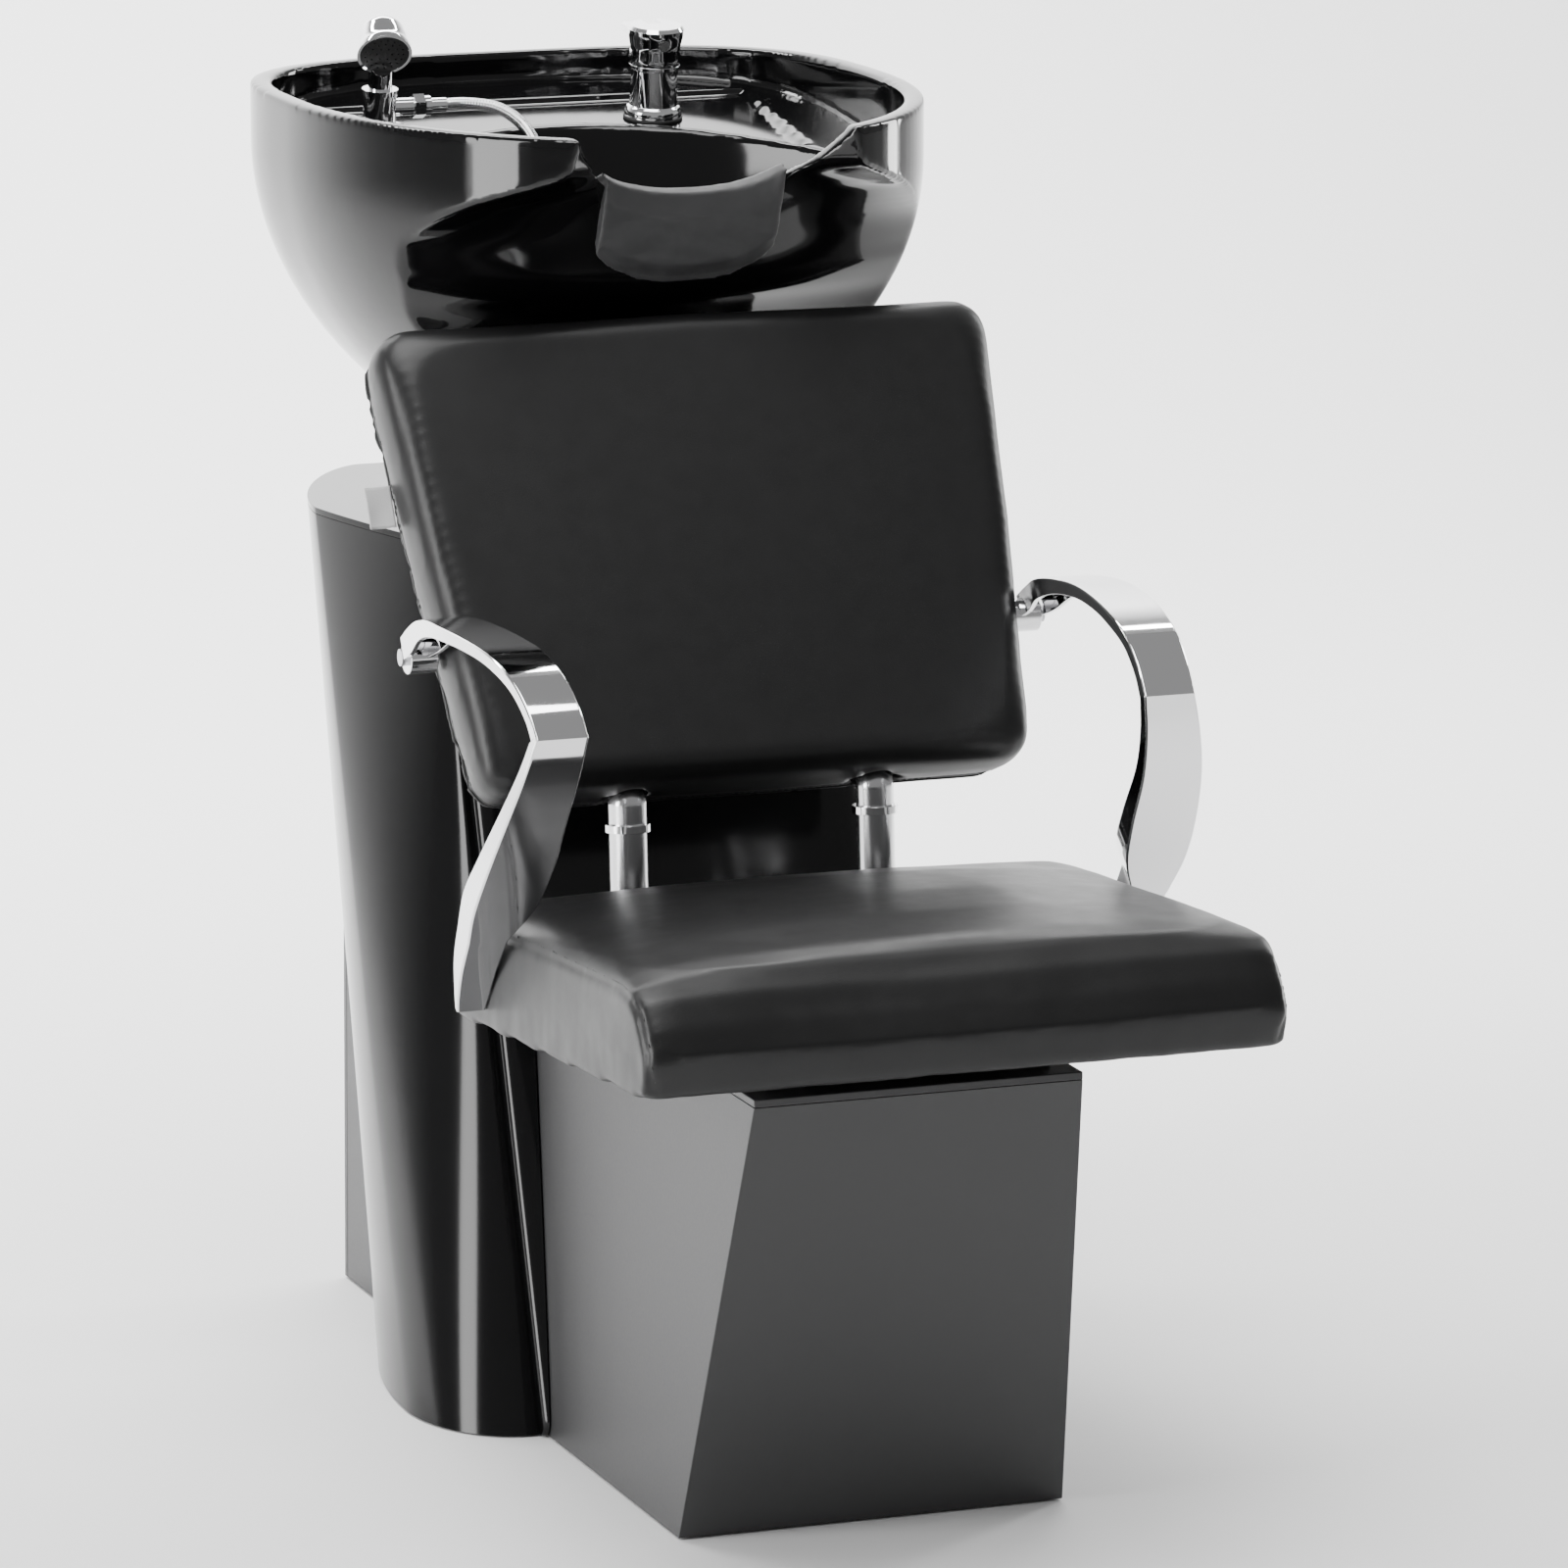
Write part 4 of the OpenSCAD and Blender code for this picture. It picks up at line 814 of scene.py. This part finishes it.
def make_tag():
    """Plain ribbon folded into the backrest's side seam."""
    hw = lerp(440, 492, 263 / 373) / 2
    verts, faces = [], []
    nx, nz = 16, 12
    for layer in (0, 1):
        for i in range(nx + 1):
            for k in range(nz + 1):
                u, w = i / nx, k / nz
                x = -hw - 0.2 - 20.2 * u
                y = 51.5 + 1.6 * math.sin(u * 2.6) + 0.7 * math.sin(w * 5 + u * 2) * u
                y += 0.5 if layer else -0.1
                z = 230 + 33 * w - 0.8 * u * math.sin(w * 3)
                verts.append([c / MM for c in BACK @ (Vector((x, y, z)) * MM)])

    def at(layer, i, k):
        return layer * (nx + 1) * (nz + 1) + i * (nz + 1) + k

    for i in range(nx):
        for k in range(nz):
            faces.append([at(0, i, k), at(0, i + 1, k), at(0, i + 1, k + 1), at(0, i, k + 1)])
            faces.append([at(1, i, k), at(1, i, k + 1), at(1, i + 1, k + 1), at(1, i + 1, k)])
    for i in range(nx):
        for k in (0, nz):
            faces.append([at(0, i, k), at(0, i + 1, k), at(1, i + 1, k), at(1, i, k)])
    for k in range(nz):
        for i in (0, nx):
            faces.append([at(0, i, k), at(0, i, k + 1), at(1, i, k + 1), at(1, i, k)])
    o = solid("tag_ribbon", verts, faces)
    show(o, "unit", "tag_cloth", "side_tag")


make_tag()


# ---- armrests ----
HUB_X = lerp(440, 492, 0.352) / 2 + 2.2
ARM_X = 245.0
FOOT_IN = 0.6
ARM = [[-88, 624, -9, 13, 18], [-110, 635, -11, 15, 20], [-140, 646, -15, 18, 16], [-180, 653, -16, 23, 12],
       [-225, 656, -17, 26, 10], [-270, 655, -21, 23, 9], [-310, 651, -25, 19, 9],
       [-350, 640, -27, 15, 9], [-378, 622, -28.5, 12, 9], [-395, 603, -29.5, 10.5, 10],
       [-387, 570, -25, 19, 12], [-371, 535, -21, 27, 15],
       [-346, 495, -19, 33, 20], [-322, 462, -13, 35, 25], [-300, 435, FOOT_IN, 32, 26],
       [-275, 408, FOOT_IN, 29, 20],
       [-258, 386, FOOT_IN, 26, 10], [-247, 372, FOOT_IN, 23, 5]]


def make_arm(side, name, node):
    rows = smooth_curve(ARM[:10], 6)[:-1] + smooth_curve(ARM[9:15], 6)[:-1] + smooth_curve(ARM[14:], 6)
    rings = []
    for i, p in enumerate(rows):
        a, b = rows[max(i - 1, 0)], rows[min(i + 1, len(rows) - 1)]
        d = np.array([b[0] - a[0], b[1] - a[1]])
        d /= np.linalg.norm(d)
        ny, nz = -d[1], d[0]
        w, f = 4, p[4]

        def at(x, depth):
            return (side * (ARM_X + x), p[0] + ny * depth, p[1] + nz * depth)

        rings.append([at(p[2], f), at(p[2] + w, f), at(p[2] + w, w),
                      at(p[3] - w, w), at(p[3] - w, f), at(p[3], f),
                      at(p[3], 0.8), at(p[3] - 1.2, 0), at(p[2] + 1.2, 0), at(p[2], 0.8)])
    arm = loft(name, rings)
    bevel(arm, 0.0006, 2, 30)
    show(arm, "unit", "chrome", node)
    hub = cylinder(name + "_hub", (side * HUB_X, -87, 608), (side, 0, 0), 13, 253 - HUB_X)
    foot = cylinder(name + "_foot", (side * (ARM_X + 0.4), -248, 395), (side, 0, 0), 10, 7.6)
    for o in (hub, foot):
        bevel(o, 0.0008, 3, 40)
        show(o, "unit", "chrome")


make_arm(1, "arm_strap_right", "arm_right")
make_arm(-1, "arm_strap_left", "arm_left")


# ---- hose ----
ROUTE = [[-87.8, 311.7, 965.7], [-74, 312, 966], [-61, 308, 965], [-50, 301, 963], [-42, 293, 959],
         [-36, 282, 953],
         [-33, 269, 946], [-32, 256, 937], [-32, 243, 928], [-34, 229, 919], [-39, 215, 911], [-48, 205, 904],
         [-59, 198, 899], [-72, 195, 894], [-85, 196, 890], [-98, 201, 887], [-110, 211, 885], [-122, 226, 884]]


def make_hose():
    """Wound metal hose: a tube whose radius follows its winding."""
    line = [Vector(p) for p in smooth_curve(ROUTE, 12)]
    pts = resample(line, 0.5)
    sides = 24
    rings = []
    up = Vector((0, 0, 1))
    for i, p in enumerate(pts):
        t = (pts[min(i + 1, len(pts) - 1)] - pts[max(i - 1, 0)]).normalized()
        s = t.cross(up).normalized()
        u = s.cross(t)
        ring = []
        for k in range(sides):
            a = 2 * math.pi * k / sides
            r = 4.62 + 0.38 * math.cos(2 * math.pi * (i * 0.5 / 2.5) - a)
            ring.append(p + (s * math.cos(a) + u * math.sin(a)) * r)
        rings.append(ring)
    o = loft("hose_wound", rings)
    paint(o, "hose_steel")
    path = [[c * MM for c in p] for p in resample(line, 4)] + [[c * MM for c in ROUTE[-1]]]
    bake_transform(o)
    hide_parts("shower_hose")


make_hose()


# ---- studio ----
def make_studio():
    white = material("backdrop", (0.9, 0.9, 0.9), 0.9, grain=3, vary=0.02)
    rows = []
    for y, z in [(-12, 0), (2.4, 0)] + [(2.4 + 1.6 * math.sin(t), 1.6 - 1.6 * math.cos(t))
                                       for t in np.linspace(0.1, math.pi / 2, 12)] + [(4.0, 7)]:
        rows.append([(-9, y, z), (9, y, z)])
    verts = [p for r in rows for p in r]
    me = bpy.data.meshes.new("backdrop")
    me.from_pydata(verts, [], [[2 * i, 2 * i + 1, 2 * i + 3, 2 * i + 2] for i in range(len(rows) - 1)])
    for f in me.polygons:
        f.use_smooth = True
    floor = new_object("backdrop", me)
    floor.data.materials.append(white)

    def softbox(name, loc, aim, size, power):
        light = bpy.data.lights.new(name, "AREA")
        light.shape = "RECTANGLE"
        light.size, light.size_y = size
        light.energy = power
        o = bpy.data.objects.new(name, light)
        bpy.context.scene.collection.objects.link(o)
        o.location = loc
        o.rotation_euler = (Vector(aim) - Vector(loc)).to_track_quat("-Z", "Y").to_euler()

    softbox("left_box", (-3.2, -0.6, 1.2), (0, 0, 0.5), (1.0, 2.4), 110)
    softbox("right_box", (3.0, 1.2, 1.3), (0, 0, 0.6), (0.5, 2.4), 60)
    softbox("top_box", (-0.4, -0.6, 3.2), (0, -0.1, 0.4), (1.8, 1.8), 90)
    softbox("back_box", (0.0, 2.2, 3.4), (0, 3.8, 0.8), (5.0, 1.0), 420)
    world = bpy.data.worlds.new("studio")
    world.use_nodes = True
    bg = world.node_tree.nodes["Background"]
    bg.inputs["Color"].default_value = (1, 1, 1, 1)
    bg.inputs["Strength"].default_value = 0.3
    bpy.context.scene.world = world


make_studio()
